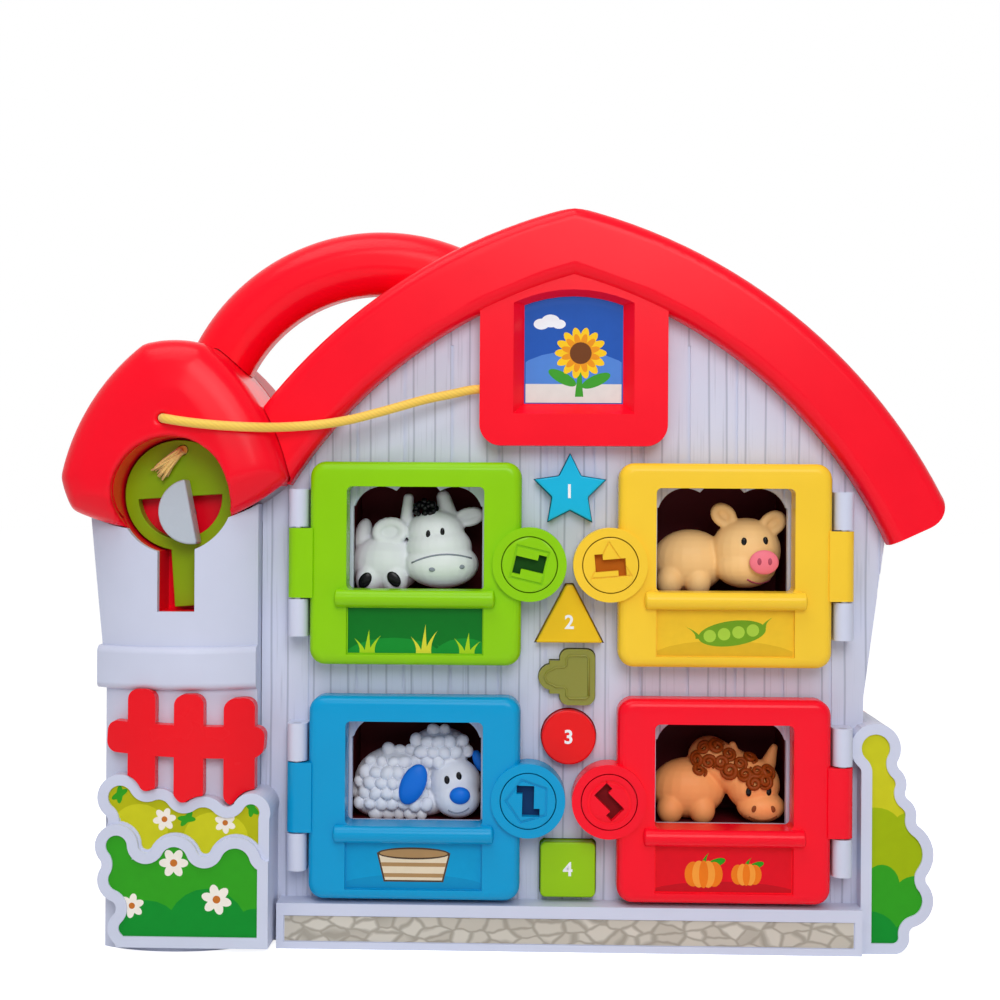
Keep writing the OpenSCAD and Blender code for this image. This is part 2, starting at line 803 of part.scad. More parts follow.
// Liner of the key's pocket, behind the skins of the dome and tower
module key_pocket() {
  color("#c00f22") difference() {
    intersection() {
      slab(-past, pocket_floor + pocket_wall) pocket_area(pocket_wall);
      union() {
        dome_solid(wall + fit);
        intersection() {
          slab(-past, 0) tower_area(wall + fit, tower_top);
          tower_bulge(-wall - fit);
        }
      }
    }
    slab(-past, pocket_floor) pocket_area();
    post(latch_pos[0], latch_pos[1], latch_stem + run, -past, past);
    post(cord_out[0], cord_out[1], cord_d / 2 + fit, -past, past);
  }
}

// Round head with a half-round window and an eye for the cord, and a stem
module key() {
  color("#7f9408") slab(key_front, pocket_floor - fit) difference() {
    translate([pocket_x, key_z]) rotate(key_turn) difference() {
      union() {
        circle(key_r);
        translate([-key_stem_w / 2, -key_l]) square([key_stem_w, key_l]);
      }
      translate([0, key_window_z]) intersection() {
        circle(key_window_r);
        translate([-key_window_r, -key_window_r]) square([2 * key_window_r, key_window_r]);
      }
    }
    translate(cord_out) circle(cord_d / 2 + fit);
  }
}

// White half disc that turns in front of the key, on a stem through the key's window
module key_latch() {
  color("#d4dae2") {
    slab(key_front - run - latch_t, key_front - run) translate(latch_pos) rotate(latch_turn)
      translate([latch_r * 4 / (3 * PI), 0]) intersection() {
        circle(latch_r);
        translate([-2 * latch_r, -latch_r]) square(2 * latch_r);
      }
    post(latch_pos[0], latch_pos[1], latch_stem, key_front - run - eps, latch_end);
    post(latch_pos[0], latch_pos[1], latch_stem + latch_collar, pocket_floor + pocket_wall + run, latch_end);
  }
}

// Direction of the cord at each of its points
function cord_dir(i) =
  let (a = CORD[max(i - 1, 0)], b = CORD[min(i + 1, len(CORD) - 1)]) (b - a) / norm(b - a);

// Ring of points around the cord
function cord_ring(i, sides) =
  let (d = cord_dir(i), side = cross(d, [0.1, 1, 0.2]), u = side / norm(side), v = cross(d, u))
  [for (k = [0:sides - 1]) CORD[i] + cord_d / 2 * (u * cos(360 * k / sides) + v * sin(360 * k / sides))];

module tether_cord() {
  sides = 8;
  rings = len(CORD);
  points = [for (i = [0:rings - 1]) each cord_ring(i, sides)];
  walls = [
    for (i = [0:rings - 2], k = [0:sides - 1])
      let (a = i * sides + k, b = i * sides + (k + 1) % sides)
      each [[a, b, b + sides], [a, b + sides, a + sides]]
  ];
  first = [for (k = [sides - 1:-1:0]) k];
  last = [for (k = [0:sides - 1]) (rings - 1) * sides + k];
  color("#f0cf6a") polyhedron(points, concat(walls, [first, last]));
}

// Door blank with its front edges rounded in layers
module door_plate() {
  hull() for (a = [0:22.5:90]) {
    inset = door_round * (1 - cos(a));
    slab(door_front + door_round * (1 - sin(a)), door_back)
      round_rect(door_w - 2 * inset, door_h - 2 * inset, door_corner - inset, $fn = 32);
  }
}

// Left door about its own centre height, with its hinge on the left
module door(colour) {
  ledge_z = window_dz - window_h / 2 - ledge_d / 2 + 0.2;
  sill = 3;
  panel_h = ledge_z - ledge_d / 2 + door_h / 2 - sill;
  color(colour) difference() {
    union() {
      translate([-door_mid_x, 0, 0]) door_plate();
      post(-lock_x, 0, boss_r, boss_front, door_back);
      translate([-hinge_x, hinge_y, 0]) cylinder(r = knuckle_r, h = door_knuckle_h, center = true);
      translate([-hinge_x, hinge_y - knuckle_r, -door_knuckle_h / 2])
        cube([hinge_x - door_in - door_w + 1, 2 * knuckle_r, door_knuckle_h]);
      translate([-door_mid_x, door_front - 0.6, ledge_z]) rotate([0, 90, 0])
        cylinder(d = ledge_d, h = window_w + 5, center = true);
    }
    slab(-past, 0) translate([-door_mid_x, window_dz]) round_rect(window_w, window_h, 1.5);
    slab(-past, door_front + 1.4) translate([-door_mid_x - window_w / 2, -door_h / 2 + sill])
      square([window_w, panel_h]);
    post(-lock_x, 0, disc_r + run, -past, boss_front + disc_t + run);
    post(-lock_x, 0, hub_r + run, -past, 0);
    translate([-hinge_x, hinge_y, 0]) cylinder(r = pin_r + run, h = door_h, center = true);
  }
}

// Lock disc with its keyhole, engraved outline, hub and the spigot that carries the cam
module lock_disc(lock, colour) {
  color(colour) translate([-lock_x, 0, 0]) difference() {
    union() {
      post(0, 0, disc_r, boss_front, boss_front + disc_t);
      post(0, 0, hub_r, boss_front + 1, cam_front);
      post(0, 0, spigot_r, boss_front + 1, cam_front + cam_t);
    }
    slab(-past, boss_front + disc_t - 0.6) rotate(lock[0]) {
      square([keyhole_l, keyhole_w], center = true);
      for (s = [0, 180]) rotate(s) translate([keyhole_l / 2 - keyhole_tooth, keyhole_w / 2 - eps])
        square([keyhole_tooth, keyhole_w / 2]);
    }
    slab(-past, boss_front + 0.4) rotate(lock[0] + (lock[1] == 4 ? 45 : 90)) difference() {
      circle(lock[2], $fn = lock[1]);
      circle(lock[2] - 0.8, $fn = lock[1]);
    }
  }
}

// Tongue behind the wall that holds a locked door
module lock_cam() {
  color("#e8e8ee") slab(cam_front, cam_front + cam_t) translate([-lock_x, 0]) difference() {
    union() {
      circle(hub_r);
      translate([-tongue_w / 2, -tongue_l]) square([tongue_w, tongue_l]);
    }
    circle(spigot_r + 0.05);
  }
}

module hinge_pin() {
  color("silver") translate([-hinge_x, hinge_y, 0])
    cylinder(r = pin_r, h = door_knuckle_h + 2 * shell_knuckle_h + 0.8, center = true);
}

// Puts a left-hand piece at one of the four doors: green, yellow, blue or red
module at_door(i) {
  translate([0, 0, i < 2 ? upper_z : lower_z]) mirror([i % 2, 0, 0]) children();
}

// Open box behind one stall opening
module stall(i) {
  color("#8c1420") at_stall(i) difference() {
    slab(panel_back + fit, stall_back) stall_box_area(stall_wall);
    slab(panel_back, stall_back - stall_wall) stall_box_area();
  }
}

// Moves a piece to the middle of one stall opening
module at_stall(i) {
  translate([(i % 2 * 2 - 1) * door_mid_x, 0, (i < 2 ? upper_z : lower_z) + window_dz]) children();
}

module stall_box_area(grow = 0) {
  translate([-stall_w / 2 - 1 - grow, stall_floor - grow])
    square([stall_w + 2 + 2 * grow, stall_h + 10 + 2 * grow]);
}

// Rounded limb between two balls
module limb(a, ra, b, rb) {
  hull() {
    translate(a) sphere(ra, $fn = 16);
    translate(b) sphere(rb, $fn = 16);
  }
}

// Seats a figure in the stall of one door: flat on the floor and clear of the wall
module seat_figure(i) {
  at_stall(i) intersection() {
    translate([0, figure_front, 0]) children();
    translate([-stall_w / 2 - 0.5, figure_front, stall_floor])
      cube([stall_w + 1, stall_depth - 7, 2 * stall_h]);
  }
}

module cow_figure() {
  color("#e4e8ee") seat_figure(0) {
    limb([-11, 12, -7], 9.5, [2, 13, -6], 10.5);
    limb([7, 9, 1], 8.6, [8, 8.6, -6], 9.2);
    limb([6, 7, -8], 7, [10, 7, -8], 7);
    limb([-3, 9, 5.5], 2.2, [1, 9, 3.5], 2.4);
    limb([13, 9, 3.5], 2.4, [17, 9, 5.2], 2.2);
    limb([2, 9, 8], 2.2, [0, 9, 11.5], 1.4);
    limb([11, 9, 8], 2.2, [13.4, 9, 11], 1.4);
    limb([4.6, 8, 9.5], 2.6, [8.6, 8, 9.8], 2.4);
    limb([-14, 9, -10], 4.4, [-14, 8, -16], 4);
    limb([-3, 9, -10], 4.4, [-3, 8, -16], 4);
  }
}

module sheep_figure() {
  color("#e4e8ee") seat_figure(2) {
    limb([-7, 13, -5], 10.5, [4, 13, -5], 10);
    for (a = [20:32:180])
      limb([-3 + 13.5 * cos(a), 9, -3 + 11.5 * sin(a)], 4.2, [-3 + 12 * cos(a), 12, -3 + 10 * sin(a)], 4.4);
    for (x = [-14, -7.5, -1]) limb([x, 6, -10], 4.2, [x, 8, -11], 4.4);
    limb([-13, 6.4, -2], 4.2, [-6.5, 5.4, -3], 4.4);
    limb([7, 8, 0], 7.2, [9, 7.4, -6], 7.4);
    limb([1, 6, 1], 2.6, [-2, 6, -5], 2.8);
    limb([12, 4, -5.5], 3.4, [13, 4, -6], 3.4);
  }
}

module pig_figure() {
  color("#f4c48e") seat_figure(1) {
    limb([-9, 12, -6], 10, [3, 12, -5], 10.5);
    limb([7, 9, 1], 8.8, [8, 8.4, -6], 9);
    limb([8, 4, -5], 4, [8.6, 3.6, -5], 4);
    limb([1.6, 9, 8], 2.8, [-0.6, 8, 10.6], 1.6);
    limb([12.4, 9, 8], 2.8, [14.4, 8, 10.6], 1.6);
    limb([-13, 9, -10], 4.2, [-13, 8, -16], 4);
    limb([-3, 9, -10], 4.2, [-3, 8, -16], 4);
    limb([-17, 12, -2], 1.8, [-15, 12, -1], 1.8);
  }
}

module horse_figure() {
  color("#eca466") seat_figure(3) {
    limb([-9, 12, -6], 9.6, [4, 12, -6], 10);
    limb([3, 10, 2], 7, [8, 9, -6], 8.6);
    limb([9, 8, -7], 7.4, [12, 7, -9], 6.4);
    limb([0, 10, 8], 2.4, [-0.8, 9, 11], 1.4);
    limb([7, 10, 7], 2.4, [8.4, 9, 10], 1.4);
    limb([-2, 11, 7], 3.6, [-6, 12, 2], 4);
    limb([-13, 9, -10], 4.2, [-13, 8, -16], 4);
    limb([-3, 9, -10], 4.2, [-3, 8, -16], 4);
  }
}

// Push button with the flange that keeps it behind the wall
module push_button(i, colour) {
  color(colour) {
    slab(panel_y - button_out, flange_y + flange_t) button_area(i);
    slab(flange_y, flange_y + flange_t) button_area(i, flange_w);
  }
}

module light_lens() {
  color("#8a8a33") {
    slab(panel_y - lens_out, panel_back + eps) button_area(2);
    slab(panel_back, panel_back + flange_t) difference() {
      button_area(2, flange_w);
      for (i = [1, 3]) button_area(i, flange_w + run);
    }
  }
}

module light_diode() {
  color("#f2f2e0") translate([0, board_y, button_z[2]]) rotate([90, 0, 0]) rotate_extrude() {
    square([2.5, 3]);
    intersection() {
      translate([0, 2]) circle(2.5);
      square([5, 5]);
    }
  }
}

// Rubber pads on the board that the buttons press
module button_pads() {
  color("#50545c") for (i = [0, 1, 3, 4])
    translate([0, board_y, button_mid(i)]) rotate([90, 0, 0]) cylinder(r1 = 4, r2 = 3, h = pad_t);
}

module circuit_board() {
  color("#1f6b3a") difference() {
    slab(board_y, board_y + board_t)
      translate([-board_w / 2, button_z[4] - 6]) square([board_w, button_z[0] - button_z[4] + 14]);
    for (z = BOARD_POSTS) post(0, z, 1.3, -past, past);
  }
}

module speaker() {
  color("#3a3a3e") translate([0, rear_depth - wall, speaker_z]) rotate([90, 0, 0]) rotate_extrude() {
    square([speaker_r, 1.6]);
    polygon([[0, 1.6], [speaker_r - 1.5, 1.6], [8.5, 5], [0, 5]]);
    translate([0, 5]) square([7.5, 4.5]);
  }
}

// Two cells side by side, one above the other
module battery_cells() {
  color("#3f7a4a") for (s = [-1, 1])
    translate([loft_x - cell_l / 2, rear_depth - well_depth + cell_r, well_z + s * (cell_r + cell_gap / 2)])
      rotate([0, 90, 0]) {
        cylinder(r = cell_r, h = cell_l - 1.4);
        cylinder(r = 2.6, h = cell_l);
      }
}

module battery_contacts() {
  color("silver") for (s = [-1, 1])
    translate([loft_x + s * (well_w / 2 - 0.3), rear_depth - well_depth + cell_r, well_z])
      translate([-0.3, -5, -well_h / 2 + 2]) cube([0.6, 10, well_h - 4]);
}

module battery_door() {
  color("#d5142b") difference() {
    slab(rear_depth - hatch_t, rear_depth) translate([loft_x, well_z])
      round_rect(well_w + 2 * hatch_rim - 2 * fit, well_h + 2 * hatch_rim - 2 * fit, 3);
    post(loft_x, hatch_screw_z, 1.2, -past, past);
  }
}

module battery_screw() {
  color("silver") {
    post(loft_x, hatch_screw_z, 1.1, rear_depth - hatch_t, rear_depth);
    post(loft_x, hatch_screw_z, 2, rear_depth, rear_depth + 0.8);
  }
}

module power_switch() {
  color("#26262a") translate([switch_pos[0] - switch_travel / 2, 0, switch_pos[1]]) {
    translate([-switch_knob[0] / 2, rear_depth - wall - run, -switch_knob[1] / 2])
      cube([switch_knob[0], wall + 1.6, switch_knob[1]]);
    translate([-switch_plate[0] / 2, rear_depth - wall - run - switch_plate[1], -switch_plate[2] / 2])
      cube(switch_plate);
  }
}

module case_screws() {
  color("silver") for (p = SCREWS) {
    post(p[0], p[1], screw_r, -screw_l, screw_l);
    post(p[0], p[1], screw_head_r, screw_l, screw_l + 2);
  }
}

front_shell();
silo_front();
rear_shell();
roof_trim();
silo_roof();
carry_handle();
loft_picture();
fence();
key_pocket();
key();
key_latch();
tether_cord();
at_door(0) door("#8acb05");  // door_green
at_door(1) door("#f3cd45");  // door_yellow
at_door(2) door("#0a9fd0");  // door_blue
at_door(3) door("#f01028");  // door_red
at_door(0) lock_disc(LOCKS[0], "#8acb05");  // lock_disc_green
at_door(1) lock_disc(LOCKS[1], "#f3cd45");  // lock_disc_yellow
at_door(2) lock_disc(LOCKS[2], "#0a9fd0");  // lock_disc_blue
at_door(3) lock_disc(LOCKS[3], "#f01028");  // lock_disc_red
at_door(0) lock_cam();  // lock_cam_green
at_door(1) lock_cam();  // lock_cam_yellow
at_door(2) lock_cam();  // lock_cam_blue
at_door(3) lock_cam();  // lock_cam_red
at_door(0) hinge_pin();  // hinge_pin_green
at_door(1) hinge_pin();  // hinge_pin_yellow
at_door(2) hinge_pin();  // hinge_pin_blue
at_door(3) hinge_pin();  // hinge_pin_red
stall(0);  // stall_cow
stall(1);  // stall_pig
stall(2);  // stall_sheep
stall(3);  // stall_horse
cow_figure();
pig_figure();
sheep_figure();
horse_figure();
push_button(0, "#16b4df");  // button_star
push_button(1, "#dec01a");  // button_triangle
push_button(3, "#e80f12");  // button_round
push_button(4, "#94c80a");  // button_square
light_lens();
light_diode();
button_pads();
circuit_board();
speaker();
battery_cells();
battery_contacts();
battery_door();
battery_screw();
power_switch();
case_screws();
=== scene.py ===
"""Looks of a toy barn with a silo: finishes, prints, figures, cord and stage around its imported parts."""

import math
import random

import bmesh
import bpy
from mathutils import Matrix, Vector
from mathutils.bvhtree import BVHTree
from mathutils.geometry import delaunay_2d_cdt, interpolate_bezier


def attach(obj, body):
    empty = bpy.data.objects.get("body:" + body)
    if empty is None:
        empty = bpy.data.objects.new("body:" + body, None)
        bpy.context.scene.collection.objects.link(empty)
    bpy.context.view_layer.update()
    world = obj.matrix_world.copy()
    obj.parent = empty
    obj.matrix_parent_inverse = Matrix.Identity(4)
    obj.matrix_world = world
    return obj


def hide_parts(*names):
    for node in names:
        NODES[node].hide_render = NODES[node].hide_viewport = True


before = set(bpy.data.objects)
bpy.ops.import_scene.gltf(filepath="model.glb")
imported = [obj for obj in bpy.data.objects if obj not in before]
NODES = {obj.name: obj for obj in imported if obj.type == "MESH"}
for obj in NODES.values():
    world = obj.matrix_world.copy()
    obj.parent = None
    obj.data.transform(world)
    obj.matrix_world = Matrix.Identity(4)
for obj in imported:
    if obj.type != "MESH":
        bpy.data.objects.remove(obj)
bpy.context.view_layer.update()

bl_info = {
    "name": "Shape Sorter Barn",
    "version": (1, 0, 0),
    "blender": (4, 5, 0),
    "location": "View3D > Sidebar > Barn",
    "description": "Finishes, prints, animal figures and stage of a toy barn",
    "category": "Object",
}

MM = 0.001
COLOURS = ("green", "yellow", "blue", "red")

# Places on the toy in millimetres: middles of the doors and of the windows in them, front of the wall,
# front and floor of the stalls and half their width
DOOR_X = {"green": -43.4, "yellow": 43.4, "blue": -43.4, "red": 43.4}
DOOR_Z = {"green": 108.6, "yellow": 108.6, "blue": 42.6, "red": 42.6}
WINDOW_UP = 7.1
WALL_Y = -24
FIGURE_Y = -22.6
STALL_FLOOR = -15.9
STALL_HALF = 19.3

# Skin of the figures: its voxels in millimetres and its rounds of smoothing
FIGURE_SKIN = (0.4, 3)

# Edges: parts are welded within this many millimetres; these degrees part flat faces and sharp edges
WELD = 0.002
FLAT = 0.4
SHARP = 32


def mm(*values):
    """A place in millimetres, in metres."""
    return Vector(values) * MM


def linear(hex_colour):
    """Linear RGB of an sRGB hex colour."""
    parts = [int(hex_colour[i:i + 2], 16) / 255 for i in (1, 3, 5)]
    return tuple(c / 12.92 if c <= 0.04045 else ((c + 0.055) / 1.055) ** 2.4 for c in parts)


def colour_property(name, description, hex_colour):
    """A colour that a user may change."""
    return bpy.props.FloatVectorProperty(
        name=name, description=description, subtype="COLOR", size=3, min=0, max=1, default=linear(hex_colour))


def length_property(name, description, millimetres):
    """A length that a user may change."""
    return bpy.props.FloatProperty(
        name=name, description=description, unit="LENGTH", default=millimetres * MM)


def angle_property(name, description, degrees):
    """An angle that a user may change."""
    return bpy.props.FloatProperty(
        name=name, description=description, subtype="ANGLE", default=math.radians(degrees))


class BarnColours(bpy.types.PropertyGroup):
    """Colours of the mouldings."""
    wall: colour_property("Wall", "Pale moulding of the barn wall and silo", "#ccd1e6")
    groove: colour_property("Plank joints", "Dark lines between the planks of the wall", "#7f859c")
    roof: colour_property("Roof", "Red of the roof, dome and handle", "#f80824")
    rear: colour_property("Rear", "Red of the rear shell", "#e01028")
    fence: colour_property("Fence", "Red of the fence", "#ee0a1c")
    green: colour_property("Green door", "Upper left door and its lock", "#8acb05")
    yellow: colour_property("Yellow door", "Upper right door and its lock", "#f6ca34")
    blue: colour_property("Blue door", "Lower left door and its lock", "#0298cf")
    red: colour_property("Red door", "Lower right door and its lock", "#f80826")
    # The stalls are red plastic; this dark red darkens it as painted shade
    stall: colour_property("Stall", "Dark red of the stalls", "#5c0d16")
    key: colour_property("Key", "Green of the key", "#86ac06")
    latch: colour_property("Latch", "White of the turn latch", "#b6bfca")
    cord: colour_property("Cord", "Yellow of the tether cord", "#f0c64c")
    star: colour_property("Star button", "Blue of the star", "#16b4df")
    triangle: colour_property("Triangle button", "Yellow of the triangle", "#eec21a")
    round: colour_property("Round button", "Red of the round button", "#ea1014")
    square: colour_property("Square button", "Green of the square button", "#94c80a")
    lens: colour_property("Lens", "Olive of the light lens", "#98983a")
    white_figure: colour_property("White figures", "Cow and sheep", "#eef0f8")
    peach_figure: colour_property("Peach figure", "Pig", "#ffd596")
    orange_figure: colour_property("Orange figure", "Horse", "#ffb26e")
    floor: colour_property("Floor", "Pale studio floor", "#f4f4f4")


class BarnSizes(bpy.types.PropertyGroup):
    """Sizes of the finish and the camera."""
    edge: length_property("Edge", "Rounding of moulded edges", 0.6)
    door_edge: length_property("Door edge", "Rounding of the doors' inner edges", 0.8)
    label: length_property("Label", "Thickness of a printed label", 0.1)
    cord: length_property("Cord", "Diameter of the tether cord", 2.6)
    numeral: length_property("Numeral", "Height of the numerals on the buttons", 3.8)
    camera: length_property("Camera distance", "Camera from the joint of the shells", 474)
    eye: length_property("Camera height", "Camera above the floor", 126.6)
    aside: length_property("Camera aim", "Point that the camera faces, from the button column", -20.6)
    turn: angle_property("Camera turn", "Turn of the camera round the toy", 1.6)
    roll: angle_property("Camera roll", "Turn of the camera about its view", -0.35)
    focal: bpy.props.FloatProperty(
        name="Focal length", description="Focal length on a 36 mm wide sensor", default=56.7)


def colours(name):
    """A colour as the user has set it."""
    return tuple(getattr(bpy.context.scene.barn_colours, name))


def sizes():
    """The sizes as the user has set them."""
    return bpy.context.scene.barn_sizes


def add(tree, kind, inputs=None, **settings):
    """Adds a shader node, its kind given without the prefix, with its settings, values and links."""
    made = tree.nodes.new("ShaderNode" + kind)
    for name, value in settings.items():
        setattr(made, name, value)
    for socket, value in (inputs or {}).items():
        if isinstance(value, bpy.types.NodeSocket):
            tree.links.new(value, made.inputs[socket])
        else:
            made.inputs[socket].default_value = value
    return made


def new_material(name):
    """An empty material and its tree."""
    material = bpy.data.materials.new(name)
    material.use_nodes = True
    tree = material.node_tree
    tree.nodes.clear()
    return material, tree


def toned(tree, colour, pattern, low, high):
    """A colour whose value goes from low to high with a pattern."""
    tone = add(tree, "MapRange", {"Value": pattern, "To Min": low, "To Max": high})
    return add(tree, "HueSaturation", {
        "Color": (*colour, 1), "Value": tone.outputs["Result"]}).outputs["Color"]


def handled(tree, place, colour):
    """Marks about 14 mm across where a moulding was handled, and its colour toned by them."""
    marks = add(tree, "TexNoise", {
        "Vector": place, "Scale": 1 / (14 * MM), "Detail": 3.0}).outputs["Fac"]
    return marks, toned(tree, colour, marks, 0.95, 1.04)


def moulded_abs(name, colour, roughness, **sockets):
    """Injection-moulded ABS: even colour, a soft gloss that dulls in patches where it was handled,
    and a faint skin texture from the mould."""
    found = bpy.data.materials.get(name)
    if found:
        return found
    material, tree = new_material(name)
    place = add(tree, "TexCoord").outputs["Object"]
    marks, tint = handled(tree, place, colour)
    # Skin texture of 0.9 mm grit
    skin = add(tree, "TexNoise", {"Vector": place, "Scale": 1 / (0.9 * MM), "Detail": 2.0})
    gloss = add(tree, "MapRange", {
        "Value": marks, "To Min": roughness - 0.04, "To Max": roughness + 0.05})
    bump = add(tree, "Bump", {
        "Height": skin.outputs["Fac"], "Strength": 0.25, "Distance": 0.02 * MM})
    shader = add(tree, "BsdfPrincipled", {
        "Base Color": tint, "Roughness": gloss.outputs["Result"], "IOR": 1.53,
        "Specular IOR Level": 0.14, "Normal": bump.outputs["Normal"], **sockets})
    add(tree, "OutputMaterial", {"Surface": shader.outputs["BSDF"]})
    return material


def planked_abs(name, colour, dark):
    """ABS moulded as a plank wall: thin dark joints at uneven distances and short grain streaks on its flat
    front, plain satin elsewhere."""
    material, tree = new_material(name)
    place = add(tree, "TexCoord").outputs["Object"]
    axes = add(tree, "SeparateXYZ", {"Vector": place}).outputs
    # Joints wander by half a millimetre over 30 mm and stand about 5.6 mm apart
    wander = add(tree, "TexNoise", {"Vector": place, "Scale": 1 / (30 * MM), "Detail": 1.0})
    across = add(tree, "Math", {
        0: wander.outputs["Fac"], 1: 1.0 * MM, 2: axes["X"]}, operation="MULTIPLY_ADD")
    planks = add(tree, "TexVoronoi", {
        "W": across.outputs[0], "Scale": 1 / (5.6 * MM), "Randomness": 0.85},
        voronoi_dimensions="1D", feature="DISTANCE_TO_EDGE")
    joint = add(tree, "MapRange", {
        "Value": planks.outputs["Distance"], "From Min": 0.025, "From Max": 0.07,
        "To Min": 0.5, "To Max": 0.0})
    # Grain streaks 0.8 mm wide and about 30 mm long
    stretched = add(tree, "Mapping", {
        "Vector": place, "Scale": (1 / (0.8 * MM), 0, 1 / (30 * MM))})
    grain = add(tree, "TexNoise", {"Vector": stretched.outputs[0], "Scale": 1.0, "Detail": 3.0})
    streak = add(tree, "MapRange", {
        "Value": grain.outputs["Fac"], "From Min": 0.56, "From Max": 0.74, "To Min": 0.0, "To Max": 0.32})
    lines = add(tree, "Math", {0: joint.outputs[0], 1: streak.outputs[0]}, operation="MAXIMUM")
    front = add(tree, "Math", {
        0: axes["Y"], 1: WALL_Y * MM, 2: 0.3 * MM}, operation="COMPARE")
    shown = add(tree, "Math", {0: lines.outputs[0], 1: front.outputs[0]}, operation="MULTIPLY")
    _, tint = handled(tree, place, colour)
    mixed = add(tree, "Mix", {
        "Factor": shown.outputs[0], 6: tint, 7: (*dark, 1)}, data_type="RGBA")
    bump = add(tree, "Bump", {
        "Height": shown.outputs[0], "Strength": 0.5, "Distance": 0.2 * MM}, invert=True)
    shader = add(tree, "BsdfPrincipled", {
        "Base Color": mixed.outputs[2], "Roughness": 0.38, "IOR": 1.53,
        "Specular IOR Level": 0.3, "Normal": bump.outputs["Normal"]})
    add(tree, "OutputMaterial", {"Surface": shader.outputs["BSDF"]})
    return material


def label_ink(name, hex_colour):
    """Ink on a laminated paper label: flat colour with a faint mottle under a smooth clear film."""
    found = bpy.data.materials.get(name)
    if found:
        return found
    material, tree = new_material(name)
    place = add(tree, "TexCoord").outputs["Object"]
    # Mottle of the ink about 3 mm across
    mottle = add(tree, "TexNoise", {"Vector": place, "Scale": 1 / (3 * MM), "Detail": 2.0})
    tint = toned(tree, linear(hex_colour), mottle.outputs["Fac"], 0.93, 1.05)
    shader = add(tree, "BsdfPrincipled", {
        "Base Color": tint, "Roughness": 0.42, "IOR": 1.5, "Specular IOR Level": 0.12})
    add(tree, "OutputMaterial", {"Surface": shader.outputs["BSDF"]})
    return material


def stone_print():
    """Print of a rubble wall on a paper label: beige and grey stones about 7 mm wide with dark joints."""
    material, tree = new_material("paper label, rubble print")
    place = add(tree, "TexCoord").outputs["Object"]
    # Outlines are bent by up to 1 mm, about every 4 mm
    bend = add(tree, "TexNoise", {"Vector": place, "Scale": 1 / (4 * MM), "Detail": 1.0})
    bent = add(tree, "VectorMath", {
        0: bend.outputs["Color"], 1: (2 * MM, 2 * MM, 2 * MM), 2: place}, operation="MULTIPLY_ADD")
    flat = add(tree, "Mapping", {
        "Vector": bent.outputs[0], "Scale": (1 / (6.8 * MM), 0, 1 / (3.6 * MM))})
    stones = add(tree, "TexVoronoi", {"Vector": flat.outputs[0], "Scale": 1.0, "Randomness": 0.9})
    edges = add(tree, "TexVoronoi", {
        "Vector": flat.outputs[0], "Scale": 1.0, "Randomness": 0.9}, feature="DISTANCE_TO_EDGE")
    pick = add(tree, "SeparateColor", {"Color": stones.outputs["Color"]})
    ramp = add(tree, "ValToRGB", {"Fac": pick.outputs[0]})
    ramp.color_ramp.elements[0].color = (*linear("#b9b2a6"), 1)
    ramp.color_ramp.elements[1].color = (*linear("#cfc9be"), 1)
    joint = add(tree, "MapRange", {
        "Value": edges.outputs["Distance"], "From Min": 0.03, "From Max": 0.12, "To Min": 0.7, "To Max": 0.0})
    mixed = add(tree, "Mix", {
        "Factor": joint.outputs[0], 6: ramp.outputs["Color"], 7: (*linear("#8f887c"), 1)}, data_type="RGBA")
    shader = add(tree, "BsdfPrincipled", {
        "Base Color": mixed.outputs[2], "Roughness": 0.42, "Specular IOR Level": 0.25})
    add(tree, "OutputMaterial", {"Surface": shader.outputs["BSDF"]})
    return material


def bright_steel():
    """Rolled and plated steel: grey mirror broken up by fine rolling marks."""
    found = bpy.data.materials.get("steel, plated")
    if found:
        return found
    material, tree = new_material("steel, plated")
    place = add(tree, "TexCoord").outputs["Object"]
    # Rolling marks about 0.6 mm apart
    marks = add(tree, "TexNoise", {"Vector": place, "Scale": 1 / (0.6 * MM), "Detail": 2.0})
    gloss = add(tree, "MapRange", {"Value": marks.outputs["Fac"], "To Min": 0.24, "To Max": 0.42})
    shader = add(tree, "BsdfPrincipled", {
        "Base Color": (*linear("#c3c6ca"), 1), "Metallic": 1.0, "Roughness": gloss.outputs[0]})
    add(tree, "OutputMaterial", {"Surface": shader.outputs["BSDF"]})
    return material


def twisted_cord(name, colour):
    """Spun nylon cord: slightly fuzzy strands that scatter light, with darker twist marks."""
    material, tree = new_material(name)
    place = add(tree, "TexCoord").outputs["Object"]
    # Strands about 0.9 mm apart, laid aslant
    slant = add(tree, "Mapping", {"Vector": place, "Rotation": (0.3, 0.9, 0.4)})
    strands = add(tree, "TexWave", {
        "Vector": slant.outputs[0], "Scale": 0.314 / (0.9 * MM), "Distortion": 1.5, "Detail": 1.0})
    tint = toned(tree, colour, strands.outputs["Fac"], 0.93, 1.03)
    bump = add(tree, "Bump", {
        "Height": strands.outputs["Fac"], "Strength": 0.2, "Distance": 0.1 * MM})
    shader = add(tree, "BsdfPrincipled", {
        "Base Color": tint, "Roughness": 0.6, "Sheen Weight": 0.3,
        "Normal": bump.outputs["Normal"]})
    add(tree, "OutputMaterial", {"Surface": shader.outputs["BSDF"]})
    return material


def paint(obj, *materials):
    """Gives an object its materials."""
    obj.data.materials.clear()
    for material in materials:
        obj.data.materials.append(material)


